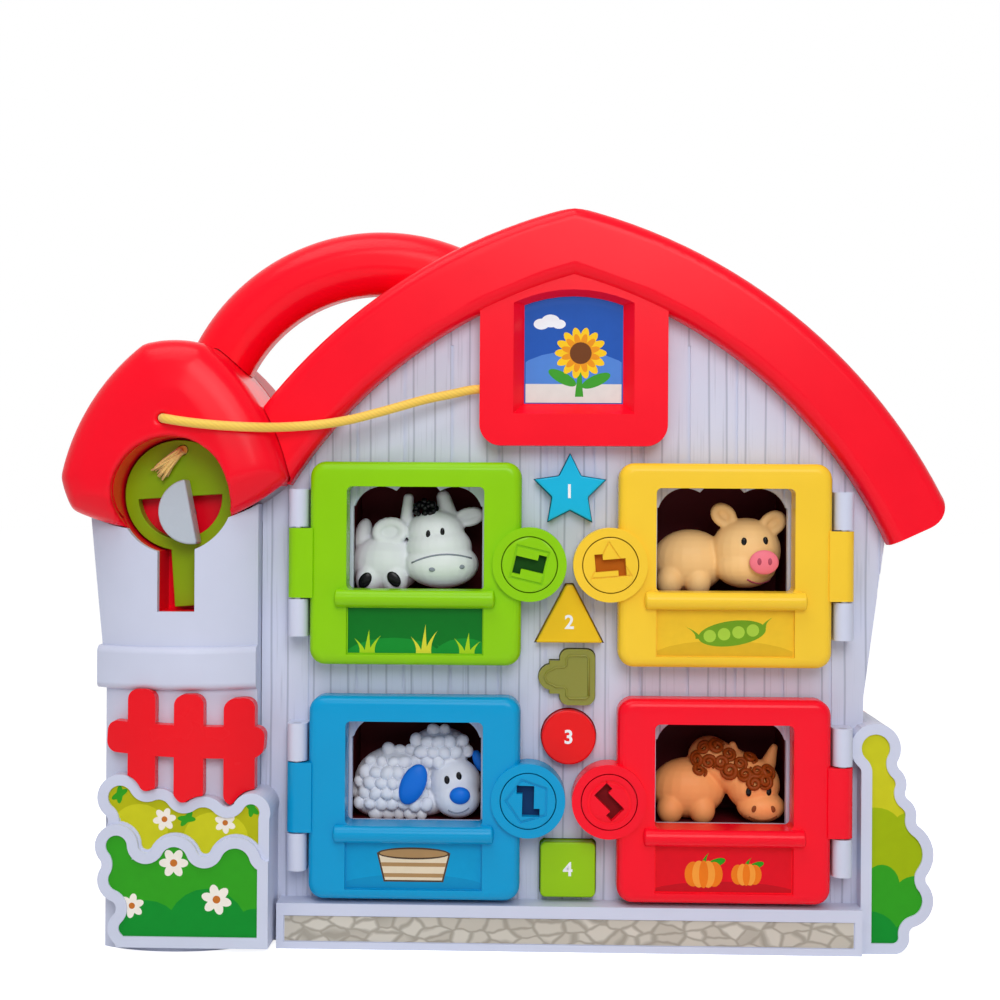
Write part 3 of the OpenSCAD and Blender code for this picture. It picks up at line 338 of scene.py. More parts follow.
def soften(obj, width, segments=2, split=False):
    """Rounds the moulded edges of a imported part; faces with holes are split first where that helps."""
    obj.data.shade_smooth()
    weld = obj.modifiers.new("Weld", "WELD")
    weld.merge_threshold = WELD * MM
    flatten = obj.modifiers.new("Flatten", "DECIMATE")
    flatten.decimate_type = "DISSOLVE"
    flatten.angle_limit = math.radians(FLAT)
    if split:
        obj.modifiers.new("Split", "TRIANGULATE").min_vertices = 5
    bevel = obj.modifiers.new("Edges", "BEVEL")
    bevel.width = width
    bevel.segments = segments
    bevel.limit_method = "ANGLE"
    bevel.angle_limit = math.radians(SHARP)
    bevel.miter_outer = "MITER_ARC"
    even = obj.modifiers.new("Even", "WEIGHTED_NORMAL")
    even.weight = 80


def finish(name, material, width, segments=2, split=False):
    """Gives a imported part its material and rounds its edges."""
    paint(NODES[name], material)
    soften(NODES[name], width, segments, split)


def put(name, data):
    """Puts new data into the scene as an object."""
    made = bpy.data.objects.new(name, data)
    bpy.context.scene.collection.objects.link(made)
    return made


def piece(name, mesh, materials, body="root", nodes=()):
    """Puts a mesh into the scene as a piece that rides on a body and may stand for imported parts."""
    made = put(name, mesh)
    for material in materials:
        mesh.materials.append(material)
    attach(made, body)
    if nodes:
        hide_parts(*nodes)
    return made


def mesh_of(name, shape):
    """Turns a finished shape into mesh data."""
    bmesh.ops.recalc_face_normals(shape, faces=shape.faces)
    mesh = bpy.data.meshes.new(name)
    shape.to_mesh(mesh)
    shape.free()
    return mesh


def evaluated_mesh(holder):
    """Final mesh of an object that is only a step on the way."""
    graph = bpy.context.evaluated_depsgraph_get()
    mesh = bpy.data.meshes.new_from_object(holder.evaluated_get(graph))
    bpy.data.objects.remove(holder)
    return mesh


def ellipse(x, z, rx, rz=None, turn=0, steps=24):
    """Outline of an ellipse in millimetres, turned by degrees."""
    rz = rz or rx
    c, s = math.cos(math.radians(turn)), math.sin(math.radians(turn))
    angles = [2 * math.pi * i / steps for i in range(steps)]
    return [(x + rx * math.cos(a) * c - rz * math.sin(a) * s,
             z + rx * math.cos(a) * s + rz * math.sin(a) * c) for a in angles]


def box(left, low, right, high):
    """Outline of a rectangle."""
    return [(left, low), (right, low), (right, high), (left, high)]


def blade(x, z, lean, height, width):
    """Outline of a blade of grass that bends over."""
    steps = [i / 6 for i in range(7)]
    left = [(x + lean * t * t - width / 2 * (1 - t), z + height * t) for t in steps]
    right = [(x + lean * t * t + width / 2 * (1 - t), z + height * t) for t in reversed(steps[:-1])]
    return (left + right)[::-1]


def blossom(x, z, size, turn, petal, heart):
    """Ink layers of a flower seen from above."""
    layers = []
    for i in range(6):
        angle = math.radians(turn + 60 * i)
        layers.append((ellipse(x + 0.56 * size * math.cos(angle), z + 0.56 * size * math.sin(angle),
                               0.46 * size, 0.3 * size, math.degrees(angle), 16), petal))
    return layers + [(ellipse(x, z, 0.26 * size, steps=16), heart)]


def cut_print(name, area, ground, layers, depth, body="root", cutouts=(), thickness=None):
    """A printed label in the X-Z plane, cut from ink layers into one thin solid that lies on a depth.

    area and cutouts are lists of outlines in millimetres, and layers are pairs of outline and ink."""
    outlines = [*area, *cutouts, *(outline for outline, _ in layers)]
    inks = list(dict.fromkeys([ground, *(ink for _, ink in layers)]))
    corners, faces = [], []
    for outline in outlines:
        turned = sum(a[0] * b[1] - b[0] * a[1] for a, b in zip(outline, outline[1:] + outline[:1]))
        faces.append(list(range(len(corners), len(corners) + len(outline))))
        corners.extend(Vector(point) for point in (outline if turned > 0 else outline[::-1]))
    points, _, cells, _, _, sources = delaunay_2d_cdt(corners, [], faces, 1, 1e-4)
    cut, ink_start = len(area), len(area) + len(cutouts)
    shape = bmesh.new()
    verts = [shape.verts.new(mm(point.x, depth, point.y)) for point in points]
    for cell, found in zip(cells, sources):
        if min(found) >= cut or any(cut <= source < ink_start for source in found):
            continue
        face = shape.faces.new([verts[i] for i in cell])
        top = max(found)
        face.material_index = inks.index(layers[top - ink_start][1]) if top >= ink_start else 0
    for vert in [vert for vert in shape.verts if not vert.link_faces]:
        shape.verts.remove(vert)
    raised = bmesh.ops.extrude_face_region(shape, geom=shape.faces[:], use_keep_orig=True)
    lift = Vector((0, -(thickness or sizes().label), 0))
    for part in raised["geom"]:
        if isinstance(part, bmesh.types.BMVert):
            part.co += lift
    return piece(name, mesh_of(name, shape), inks, body)


def tube(shape, path, radii, sides=6, material=0):
    """Adds a round tube along a path of points, with a radius for each."""
    rings, side = [], None
    for i, point in enumerate(path):
        along = (path[min(i + 1, len(path) - 1)] - path[max(i - 1, 0)]).normalized()
        side = along.orthogonal() if side is None else side - along * side.dot(along)
        side.normalize()
        up = along.cross(side)
        angles = [2 * math.pi * k / sides for k in range(sides)]
        rings.append([shape.verts.new(point + radii[i] * (side * math.cos(a) + up * math.sin(a)))
                      for a in angles])
    made = [shape.faces.new(rings[0][::-1]), shape.faces.new(rings[-1])]
    for low, high in zip(rings, rings[1:]):
        made += [shape.faces.new((low[k], low[(k + 1) % sides], high[(k + 1) % sides], high[k]))
                 for k in range(sides)]
    for face in made:
        face.material_index = material
        face.smooth = True


def ball(shape, centre, radii, turn=0, material=0):
    """Adds an ellipsoid, turned clockwise as seen from the front."""
    place = (Matrix.Translation(mm(*centre)) @ Matrix.Rotation(math.radians(turn), 4, "Y")
             @ Matrix.Diagonal((*mm(*radii), 1)))
    made = bmesh.ops.create_uvsphere(shape, u_segments=24, v_segments=14, radius=1, matrix=place)
    for face in {face for vert in made["verts"] for face in vert.link_faces}:
        face.material_index = material
        face.smooth = True


def limb(shape, start, start_r, end, end_r):
    """Adds a tapering row of balls."""
    for t in [i / 6 for i in range(7)]:
        r = start_r + (end_r - start_r) * t
        ball(shape, Vector(start).lerp(Vector(end), t), (r, r, r))


def ear(shape, centre, rx, rz, turn, rim=1.3):
    """Adds a flat ear with a raised rim."""
    x, depth, z = centre
    ball(shape, centre, (rx - rim / 2, rim * 0.7, rz - rim / 2), turn)
    for px, pz in ellipse(x, z, rx - rim, rz - rim, -turn, 18):
        ball(shape, (px, depth - 0.5, pz), (rim, rim, rim))


def smooth_skin(obj, voxel, rounds):
    """One smooth skin over an object, from voxels of a size in millimetres."""
    skin = obj.modifiers.new("Skin", "REMESH")
    skin.mode = "VOXEL"
    skin.voxel_size = voxel * MM
    skin.use_smooth_shade = True
    smooth = obj.modifiers.new("Smooth", "SMOOTH")
    smooth.iterations = rounds


def fuse(balls, ears=(), limbs=()):
    """The body of a figure, kept inside its stall, and a tree to find its front."""
    shape = bmesh.new()
    for centre, radii, *turn in balls:
        ball(shape, centre, radii, *turn)
    for values in ears:
        ear(shape, *values)
    for values in limbs:
        limb(shape, *values)
    holder = put("figure_step", mesh_of("figure_step", shape))
    smooth_skin(holder, *FIGURE_SKIN)
    fused = bmesh.new()
    fused.from_mesh(evaluated_mesh(holder))
    for vert in fused.verts:
        vert.co.z = max(vert.co.z, STALL_FLOOR * MM)
        vert.co.x = min(max(vert.co.x, -STALL_HALF * MM), STALL_HALF * MM)
    return fused, BVHTree.FromBMesh(fused)


def on_front(tree, x, z):
    """Point and normal of a figure's front at a place in millimetres."""
    point, normal, _, _ = tree.ray_cast(mm(x, -50, z), Vector((0, 1, 0)))
    return point, normal


def dab(shape, tree, place, radii, turn=0, material=0):
    """Sets an ellipsoid on a figure's front and gives the point that it lies on."""
    point, _ = on_front(tree, *place)
    ball(shape, point / MM, radii, turn, material)
    return point


def curl(shape, tree, x, z, size, turn, material):
    """Adds a lock of a mane: a spiral tube lying on the figure."""
    point, normal = on_front(tree, x, z)
    if point is None:
        return
    side = normal.orthogonal().normalized()
    up = normal.cross(side)
    path, radii = [], []
    for i in range(22):
        t = i / 21
        reach = size * MM * (0.2 + 0.8 * t)
        angle = math.radians(turn) + 3.2 * math.pi * (1 - t)
        lift = normal * (size * MM * (0.42 - 0.34 * t))
        path.append(point + lift + reach * (side * math.cos(angle) + up * math.sin(angle)))
        radii.append(size * MM * (0.26 + 0.1 * t) * min(1, 0.45 + 3 * (1 - t)))
    tube(shape, path, radii, 6, material)


def drawn_line(shape, tree, places, radius, material):
    """Adds a thin line that follows a figure's front through places in millimetres."""
    path = [on_front(tree, x, z)[0] for x, z in places]
    path = [point for point in path if point is not None]
    tube(shape, path, [radius * MM] * len(path), 6, material)


def arc_places(left, top, right):
    """Places along a parabola through three points."""
    (x0, z0), (x1, z1), (x2, z2) = left, top, right
    places = []
    for i in range(13):
        x = x0 + (x2 - x0) * i / 12
        places.append((x, z0 * (x - x1) * (x - x2) / ((x0 - x1) * (x0 - x2))
                       + z1 * (x - x0) * (x - x2) / ((x1 - x0) * (x1 - x2))
                       + z2 * (x - x0) * (x - x1) / ((x2 - x0) * (x2 - x1))))
    return places


class BARN_OT_stage(bpy.types.Operator):
    """Makes the camera, the lamps, the world and the floor"""
    bl_idname = "barn.stage"
    bl_label = "Stage"

    # Lamps: name, place and width in metres, power in watts; then the point that they face
    LAMPS = (("lamp_top", (-0.2, -0.3, 0.85), 0.6, 3.0), ("lamp_front", (0.1, -0.95, 0.6), 0.6, 5.4))
    LAMP_AIM = Vector((-0.02, 0, 0.1))
    # Strength of the world on the toy, and glow that makes the floor white to the camera
    WORLD_LIGHT = 0.2
    FLOOR_GLOW = 0.82
    # Radius of the floor in metres, and width of the camera's sensor in millimetres
    FLOOR_RADIUS = 6
    SENSOR = 36

    def execute(self, context):
        size = sizes()
        lens = bpy.data.cameras.new("camera")
        lens.lens = size.focal
        lens.sensor_width = self.SENSOR
        lens.sensor_fit = "HORIZONTAL"
        camera = put("camera", lens)
        camera.location = (
            size.aside + size.camera * math.sin(size.turn), -size.camera * math.cos(size.turn), size.eye)
        camera.rotation_euler = (math.pi / 2, size.roll, size.turn)
        context.scene.camera = camera
        context.scene.view_settings.view_transform = "Standard"
        self.world(context)
        for values in self.LAMPS:
            self.lamp(*values)
        self.floor()
        return {"FINISHED"}

    def shown(self, tree):
        """Tells rays that show the background from those that light the toy."""
        path = add(tree, "LightPath").outputs
        mirrored = add(tree, "Math", {
            0: path["Is Glossy Ray"], 1: path["Is Transmission Ray"]}, operation="MAXIMUM")
        return add(tree, "Math", {
            0: path["Is Camera Ray"], 1: mirrored.outputs[0]}, operation="MAXIMUM").outputs[0]

    def world(self, context):
        """Even light on the toy, and white to the camera."""
        world = bpy.data.worlds.new("studio")
        world.use_nodes = True
        tree = world.node_tree
        tree.nodes.clear()
        light = add(tree, "Background", {"Color": (1, 1, 1, 1), "Strength": self.WORLD_LIGHT})
        white = add(tree, "Background", {"Color": (1, 1, 1, 1), "Strength": 1.0})
        mix = add(tree, "MixShader", {
            0: self.shown(tree), 1: light.outputs[0], 2: white.outputs[0]})
        add(tree, "OutputWorld", {"Surface": mix.outputs[0]})
        context.scene.world = world

    def lamp(self, name, place, width, power):
        """A round lamp that faces the toy."""
        data = bpy.data.lights.new(name, "AREA")
        data.shape = "DISK"
        data.size = width
        data.energy = power
        lamp = put(name, data)
        lamp.location = place
        lamp.rotation_euler = (self.LAMP_AIM - lamp.location).to_track_quat("-Z", "Y").to_euler()

    def floor(self):
        """Matt paper that takes the toy's shadow and looks white."""
        mesh = bpy.data.meshes.new("floor")
        shape = bmesh.new()
        bmesh.ops.create_circle(shape, cap_ends=True, segments=96, radius=self.FLOOR_RADIUS)
        shape.to_mesh(mesh)
        shape.free()
        floor = put("floor", mesh)
        material, tree = new_material("studio paper")
        matt = add(tree, "BsdfDiffuse", {"Color": (*colours("floor"), 1)})
        glow = add(tree, "Emission", {"Strength": self.FLOOR_GLOW})
        lit = add(tree, "AddShader", {0: matt.outputs[0], 1: glow.outputs[0]})
        mix = add(tree, "MixShader", {0: self.shown(tree), 1: matt.outputs[0], 2: lit.outputs[0]})
        add(tree, "OutputMaterial", {"Surface": mix.outputs[0]})
        paint(floor, material)


class BARN_OT_shells(bpy.types.Operator):
    """Finishes the shells, the fence and what lies inside them"""
    bl_idname = "barn.shells"
    bl_label = "Shells"

    # Slit between the dome and the wall, closed with a plate of wall plastic so that no dark inside shows:
    # its box, the plate's depth behind the wall's front and its thickness, in millimetres
    SLIT = (-91, 120, -79, 136)
    PLATE_IN, PLATE = 2, 1.6

    def execute(self, context):
        edge = sizes().edge
        wall = moulded_abs("wall ABS, moulded", colours("wall"), 0.34)
        rear = moulded_abs("rear ABS, moulded", colours("rear"), 0.36)
        # Stalls: their red plastic painted darker red as painted shade
        stall = moulded_abs("stall ABS, moulded matt", colours("stall"), 0.55)
        planks = planked_abs("wall ABS, moulded planks", colours("wall"), colours("groove"))
        fence = moulded_abs("fence ABS, moulded", colours("fence"), 0.26)
        for name, material, width in (
                ("front_shell", planks, 1), ("silo_front", wall, 1.2), ("rear_shell", rear, 1.6),
                ("battery_door", rear, 1), ("fence", fence, 1.7)):
            finish(name, material, width * edge)
        for animal in ("cow", "pig", "sheep", "horse"):
            finish("stall_" + animal, stall, edge / 2)
        cut_print("wall_infill", [box(*self.SLIT)], wall, [], WALL_Y + self.PLATE_IN,
                  thickness=self.PLATE * MM)
        return {"FINISHED"}


class BARN_OT_roof(bpy.types.Operator):
    """Finishes the roof, the dome and the handle"""
    bl_idname = "barn.roof"
    bl_label = "Roof"

    # Skin of the dome: its voxels in millimetres and its rounds of smoothing
    DOME_SKIN = (0.7, 14)

    def execute(self, context):
        red = moulded_abs("roof ABS, moulded", colours("roof"), 0.24)
        for name in ("roof_trim", "carry_handle"):
            finish(name, red, 1.5 * sizes().edge)
        paint(NODES["silo_roof"], red)
        smooth_skin(NODES["silo_roof"], *self.DOME_SKIN)
        return {"FINISHED"}


class BARN_OT_doors(bpy.types.Operator):
    """Finishes the doors, their locks and hinges"""
    bl_idname = "barn.doors"
    bl_label = "Doors"

    # Ledge under a window: half its length, its depth, height from the door's middle and radius
    LEDGE = (21.8, -33.8, -9.7, 2.5)
    # Round end of a ledge: how far it stands out and how much smaller its radius is
    LEDGE_END, LEDGE_INSET = 0.8, 0.02
    # Locks: middle from the button column, floor of the keyhole, then angle and shade of each one
    LOCK_X = 11.3
    HOLE_Y = -32.2
    HOLES = {"green": (-13, "#12460a"), "yellow": (-5, "#b8620c"),
             "blue": (89, "#0a3563"), "red": (45, "#6d0710")}
    # Length and width of a keyhole, length of its two teeth, and the share of it that its floor fills
    HOLE_L, HOLE_W, TOOTH, HOLE_FIT = 8.6, 3.3, 2.3, 0.97

    def execute(self, context):
        cam = moulded_abs("cam ABS, moulded", linear("#e4e4ea"), 0.35)
        for name in COLOURS:
            material = moulded_abs(f"{name} door ABS, moulded", colours(name), 0.24)
            self.ledge_ends(name, material)
            self.keyhole(name)
            finish("door_" + name, material, sizes().door_edge, 3, True)
            finish("lock_disc_" + name, material, 0.3 * sizes().edge, 2, True)
            finish("lock_cam_" + name, cam, 0.4 * sizes().edge)
            finish("hinge_pin_" + name, bright_steel(), 0.4 * sizes().edge)
        return {"FINISHED"}

    def ledge_ends(self, name, material):
        """The round ends of the ledge under a window."""
        half, depth, rise, r = self.LEDGE
        radii = (self.LEDGE_END, r - self.LEDGE_INSET, r - self.LEDGE_INSET)
        shape = bmesh.new()
        for side in (-1, 1):
            ball(shape, (DOOR_X[name] + side * half, depth, DOOR_Z[name] + rise), radii)
        ends = mesh_of("ledge_ends_" + name, shape)
        piece("ledge_ends_" + name, ends, [material], "door_" + name)

    def keyhole(self, name):
        """The shaded floor of a keyhole."""
        turn, shade = self.HOLES[name]
        mirrored = 1 if DOOR_X[name] < 0 else -1
        end, wide, deep, step = self.HOLE_L / 2, self.HOLE_W / 2, self.HOLE_W, self.HOLE_L / 2 - self.TOOTH
        outline = [(-step, -wide), (end, -wide), (end, deep), (step, deep), (step, wide), (-end, wide),
                   (-end, -deep), (-step, -deep)]
        c, s = math.cos(math.radians(turn)), math.sin(math.radians(turn))
        fit = self.HOLE_FIT
        corners = [(-self.LOCK_X + fit * (x * c - z * s), fit * (x * s + z * c)) for x, z in outline]
        placed = [(mirrored * x, DOOR_Z[name] + z) for x, z in corners]
        ink = moulded_abs(f"{name} keyhole, shaded", linear(shade), 0.7)
        cut_print("keyhole_" + name, [placed], ink, [], self.HOLE_Y, "lock_" + name)


class BARN_OT_buttons(bpy.types.Operator):
    """Finishes the buttons, numbers them and finishes the light"""
    bl_idname = "barn.buttons"
    bl_label = "Buttons"

    # Button, its numeral and where the numeral stands, in millimetres
    FACES = (("star", "1", -0.2, 129.0), ("triangle", "2", 0.0, 92.0), ("round", "3", 0.0, 59.5),
             ("square", "4", 0.0, 22.1))
    FACE_Y = -28.0
    # Height of a numeral for a letter size of 1, and the thickness and added weight of its ink in millimetres
    NUMERAL_HEIGHT = 0.7
    NUMERAL_INK = 0.12
    # Ridge on the lens, from its middle, in millimetres
    LENS_LINE = (
        (5.6, -5.2), (5.6, 5.2), (4.8, 6.1), (0.2, 6.1), (-0.7, 5.2), (-0.7, 3.4), (-1.4, 2.8), (-3.6, 2.8),
        (-4.8, 2.1), (-6.2, 1.5), (-6.9, 0.0), (-6.2, -1.5), (-4.8, -2.1), (-3.6, -2.8), (-1.4, -2.8),
        (-0.7, -3.4), (-0.7, -5.2), (0.2, -6.1), (4.8, -6.1), (5.6, -5.2))
    LENS_Z = 76.4
    LENS_FACE_Y = -26.4
    LENS_RIDGE = 0.35

    def execute(self, context):
        white = label_ink("pad-printed white ink", "#f2f4f8")
        for name, numeral, x, z in self.FACES:
            material = moulded_abs(f"{name} button ABS, moulded", colours(name), 0.22)
            finish("button_" + name, material, 2 * sizes().edge, 4)
            self.numeral(name, numeral, x, z, white)
        clear = moulded_abs(
            "lens polycarbonate, tinted", colours("lens"), 0.18, **{"Transmission Weight": 0.25})
        finish("light_lens", clear, 1.2 * sizes().edge, 3)
        shape = bmesh.new()
        path = [mm(x, self.LENS_FACE_Y, self.LENS_Z + z) for x, z in self.LENS_LINE]
        tube(shape, path, [self.LENS_RIDGE * MM] * len(path), 8)
        piece("lens_ridge", mesh_of("lens_ridge", shape), [clear])
        return {"FINISHED"}

    def numeral(self, name, character, x, z, ink):
        """A printed numeral on a button."""
        data = bpy.data.curves.new("numeral_step", "FONT")
        data.body = character
        data.size = sizes().numeral / self.NUMERAL_HEIGHT
        data.align_x = "CENTER"
        data.align_y = "CENTER"
        data.extrude = data.offset = self.NUMERAL_INK * MM
        data.resolution_u = 6
        mesh = evaluated_mesh(put("numeral_step", data))
        mesh.transform(Matrix.Translation(mm(x, self.FACE_Y, z)) @ Matrix.Rotation(math.pi / 2, 4, "X"))
        piece("numeral_" + name, mesh, [ink], "button_" + name)


class BARN_OT_key(bpy.types.Operator):
    """Finishes the key, its pocket and its latch"""
    bl_idname = "barn.key"
    bl_label = "Key"

    def execute(self, context):
        for name, colour, roughness, width in (
                ("key", "key", 0.3, 1.3), ("key_pocket", "roof", 0.24, 0.8),
                ("key_latch", "latch", 0.26, 1.8)):
            material = moulded_abs(f"{colour} ABS, moulded", colours(colour), roughness)
            finish(name, material, width * sizes().edge, 3)
        return {"FINISHED"}


class BARN_OT_tether_cord(bpy.types.Operator):
    """Makes the cord that ties the key to the loft, with its frayed end"""
    bl_idname = "barn.tether_cord"
    bl_label = "Tether cord"

    # The route from the loft over the roof and dome to the key, in millimetres
    ROUTE = (
        (-22, -27.5, 158), (-27, -27.6, 157.9), (-34, -29, 156.4), (-41, -30.6, 154.8),
        (-48, -32.2, 152.7), (-55, -33.8, 150.6), (-62, -34.2, 148.8), (-69, -34.3, 147.6),
        (-77, -35.4, 146.8), (-82.5, -38.4, 146.4), (-88, -41.8, 146.3), (-94, -43.2, 146.5),
        (-101, -43.8, 147), (-107, -43.8, 147.7), (-111.4, -43.4, 148.4), (-113, -40.6, 148.7),
        (-113, -36, 149), (-112.6, -28, 149.2), (-111.6, -19, 148.4), (-110.8, -14.4, 145.6),
        (-110.4, -14.4, 142.2), (-110.3, -17.6, 140.4), (-110.3, -23, 140.3), (-110.3, -27.6, 140.3),
    )
    # The frayed end on the key: its root, its tip and how far it spreads, its strands with their radius
    # along them and at the tip, and the face of the key
    FRAY = (Vector((-110.3, -27.4, 140.3)), Vector((-116.9, -28.6, 133.4)), 2.4)
    STRANDS = 46
    STRAND_R, STRAND_TIP_R = 0.36, 0.2
    KEY_Y = -28.0

    def execute(self, context):
        material = twisted_cord("nylon cord, spun", colours("cord"))
        data = bpy.data.curves.new("tether_cord_line", "CURVE")
        data.dimensions = "3D"
        data.bevel_depth = sizes().cord / 2
        data.bevel_resolution = 4
        data.use_fill_caps = True
        data.resolution_u = 8
        spline = data.splines.new("BEZIER")
        spline.bezier_points.add(len(self.ROUTE) - 1)
        for point, place in zip(spline.bezier_points, self.ROUTE):
            point.co = mm(*place)
            point.handle_left_type = point.handle_right_type = "AUTO"
        cord = put("tether_cord_laid", data)
        context.view_layer.update()
        paint(cord, material)
        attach(cord, "root")
        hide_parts("tether_cord")
        points = spline.bezier_points
        line = [interpolate_bezier(a.co, a.handle_right, b.handle_left, b.co, 9)
                for a, b in zip(points, points[1:])]
        self.frayed_end()
        return {"FINISHED"}

    def frayed_end(self):
        """The loose strands that lie on the key."""
        draw = random.Random(4)
        root, tip, spread = self.FRAY
        along = (tip - root).normalized()
        side = along.cross(Vector((0, 1, 0))).normalized()
        shape = bmesh.new()
        for _ in range(self.STRANDS):
            reach = draw.uniform(0.78, 1.08)
            fan = draw.uniform(-1, 1) * spread
            start = draw.uniform(-1, 1)
            lift = draw.uniform(0.1, 1.0)
            path = []
            for t in [i / 5 for i in range(6)]:
                middle = root.lerp(tip, t * reach)
                middle += side * (start * (1 - t) + fan * t)
                middle.y = self.KEY_Y - lift * (1.2 + 0.9 * t) - 0.7 * math.sin(math.pi * t)
                path.append(middle * MM)
            tube(shape, path, [self.STRAND_R * MM] * 5 + [self.STRAND_TIP_R * MM], 5)
        fibre = twisted_cord("nylon cord, frayed", linear("#f0d27c"))
        return piece("frayed_end", mesh_of("frayed_end", shape), [fibre])


class BARN_OT_prints(bpy.types.Operator):
    """Lays the printed labels on the hedges, plinth, doors and loft"""
    bl_idname = "barn.prints"
    bl_label = "Prints"

    # Lobes of the hedges as x, z and radius, in millimetres, and how far a label lies inside them, tucked
    # under the moulded rim
    LEFT = ((-124.7, 43.2, 6.4), (-125.3, 30, 6), (-124.4, 20.6, 6.2), (-122.4, 7.2, 5.2))
    TOP = ((-113.8, 39.6, 6.2), (-101.4, 36.8, 7), (-88.1, 39.4, 5.4))
    LOW = ((-109.2, 26.2, 6.8), (-92.2, 25.6, 7.2))
    RIGHT = ((86, 57.6, 7), (89, 47.6, 5.6), (92, 39, 5.4), (92.6, 28, 9.6), (94.6, 15, 7.6), (91, 4.6, 4.6))
    TUCK = 0.5
    # Depths that the labels of the hedges, the plinth and the loft lie on, and the box of the plinth's strip
    UPPER_Y, LOWER_Y, RIGHT_Y, PLINTH_Y, LOFT_Y = -38.2, -39.7, -29.2, -32.0, -26.5
    STRIP = (-79.7, 2.2, 79.7, 9.2)
    # Panels under the windows of the doors: depth, middle below the door's, half width and half height
    DOOR_Y = -31.8
    PANEL_DOWN = 18.9
    PANEL_HALF = (18.9, 6.3)
    # Inks of all the labels
    INKS = {
        "moss": "#b3b40e", "lime": "#c9c81e", "leaf": "#2f9c1c", "deep green": "#078a2a",
        "petal": "#f3ece2", "amber": "#c4702a", "olive": "#9db404", "pine": "#04701f", "glade": "#0f8a2c",
        "young grass": "#a9d11c", "dry grass": "#d8d637", "straw": "#f0c42e", "field": "#dfb426",
        "pod": "#6f9f1e", "pea": "#a8cf42", "water blue": "#0a9ad0", "pond": "#0a8fc4", "umber": "#4d3b2c",
        "oat": "#ead9bd", "tan": "#b08b5e", "wine": "#e20c22", "soil": "#c20c1e", "pumpkin": "#ee7d1a",
        "pumpkin light": "#f7a13c", "sky": "#1f55b0", "pale sky": "#4f84d4", "cloud": "#eef2f8",
        "sill": "#dcdad6", "stem": "#3c9a2a", "sunflower": "#f6c81e", "gold": "#e8941a", "seed": "#6b3a17",
    }

    def execute(self, context):
        self.left_hedges()
        self.right_hedge()
        cut_print("stone_strip", [box(*self.STRIP)], stone_print(), [], self.PLINTH_Y)
        self.grass_panel()
        self.pod_panel()
        self.bucket_panel()
        self.pumpkin_panel()
        self.loft_picture()
        return {"FINISHED"}

    def inks(self, *names):
        """Label inks by their names."""
        return [label_ink(f"paper label, {name} ink", self.INKS[name]) for name in names]

    def lobes(self, places):
        """Outlines of a hedge's lobes."""
        return [ellipse(x, z, r - self.TUCK, steps=40) for x, z, r in places]

    def left_hedges(self):
        moss, lime, leaf, deep, petal, heart = self.inks(
            "moss", "lime", "leaf", "deep green", "petal", "amber")
        right, low = -83 - self.TUCK, 2 + self.TUCK
        upper = self.lobes(self.LEFT + self.TOP) + [box(self.LEFT[0][0], low, right, self.TOP[0][1] + 1)]
        layers = [(ellipse(-119.4, 34, 8, 7.4), lime), (ellipse(-98, 32.4, 9, 7), lime)]
        for x, z, turn in ((-125, 44, 60), (-106.2, 37.4, 25), (-88, 40.6, 110)):
            for side in (-28, 28):
                layers.append((ellipse(x, z, 2.6, 0.9, turn + side, 14), leaf))
        layers += blossom(-112.4, 37.2, 3.2, 10, petal, heart)
        layers += blossom(-95.4, 36.4, 3.0, 35, petal, heart)
        cut_print("upper_hedge_label", upper, moss, layers, self.UPPER_Y)
        lower = self.lobes(self.LEFT[1:] + self.LOW) + [box(self.LEFT[1][0], low, right, self.LOW[0][1])]
        layers = [(ellipse(*mound), deep)
                  for mound in ((-117, 4, 11, 11), (-100, 5, 12, 13.4), (-87, 4, 7, 9))]
        layers += blossom(-109.4, 25.4, 4.0, 0, petal, heart)
        layers += blossom(-121, 13.4, 3.4, 20, petal, heart)
        layers += blossom(-97.4, 15.4, 4.2, 45, petal, heart)
        cut_print("lower_hedge_label", lower, leaf, layers, self.LOWER_Y)

    def right_hedge(self):
        lime, olive, leaf, deep = self.inks("lime", "olive", "leaf", "deep green")
        inner = 82 + self.TUCK
        middles = [(x, z) for x, z, _ in reversed(self.RIGHT)]
        area = self.lobes(self.RIGHT)
        area.append([(inner, self.TUCK), (91, self.TUCK), *middles, (inner, 63)])
        layers = [(box(80, 0, 110, 36), olive), (ellipse(86, 36, 7, 5), olive),
                  (ellipse(97, 36, 6, 4), olive), (box(80, 0, 110, 19), leaf), (ellipse(88, 19, 5, 6), leaf),
                  (ellipse(98, 18, 6, 4), leaf), (ellipse(84, 4, 9, 8), deep), (ellipse(98, 3, 9, 6), deep)]
        cut_print("right_hedge_label", area, lime, layers, self.RIGHT_Y)

    def panel(self, colour, ground, layers):
        """A label in the lower panel of a door; layers are drawn from the panel's middle."""
        x, z = DOOR_X[colour], DOOR_Z[colour] - self.PANEL_DOWN
        wide, high = self.PANEL_HALF
        moved = [([(px + x, pz + z) for px, pz in outline], ink) for outline, ink in layers]
        area = [box(x - wide, z - high, x + wide, z + high)]
        cut_print(f"{colour}_panel_label", area, ground, moved, self.DOOR_Y, "door_" + colour)

    def grass_panel(self):
        ground, glade, young, dry = self.inks("pine", "glade", "young grass", "dry grass")
        layers = [(ellipse(-6, -9, 15, 7), glade), (ellipse(14, -8, 9, 6), glade)]
        for x, heights, ink in ((-13.5, (4.4, 6.8, 5.2), young), (-4.6, (3.2, 4.6, 3.6), glade),
                                (2.4, (5.0, 8.4, 6.6), dry), (9.4, (3.0, 4.4, 3.0), glade),
                                (14.6, (4.6, 6.2, 3.8), young)):
            for lean, height in zip((-2.4, 0.4, 2.6), heights):
                layers.append((blade(x + lean * 0.5, -6.6, lean, height, 1.9), ink))
        self.panel("green", ground, layers)

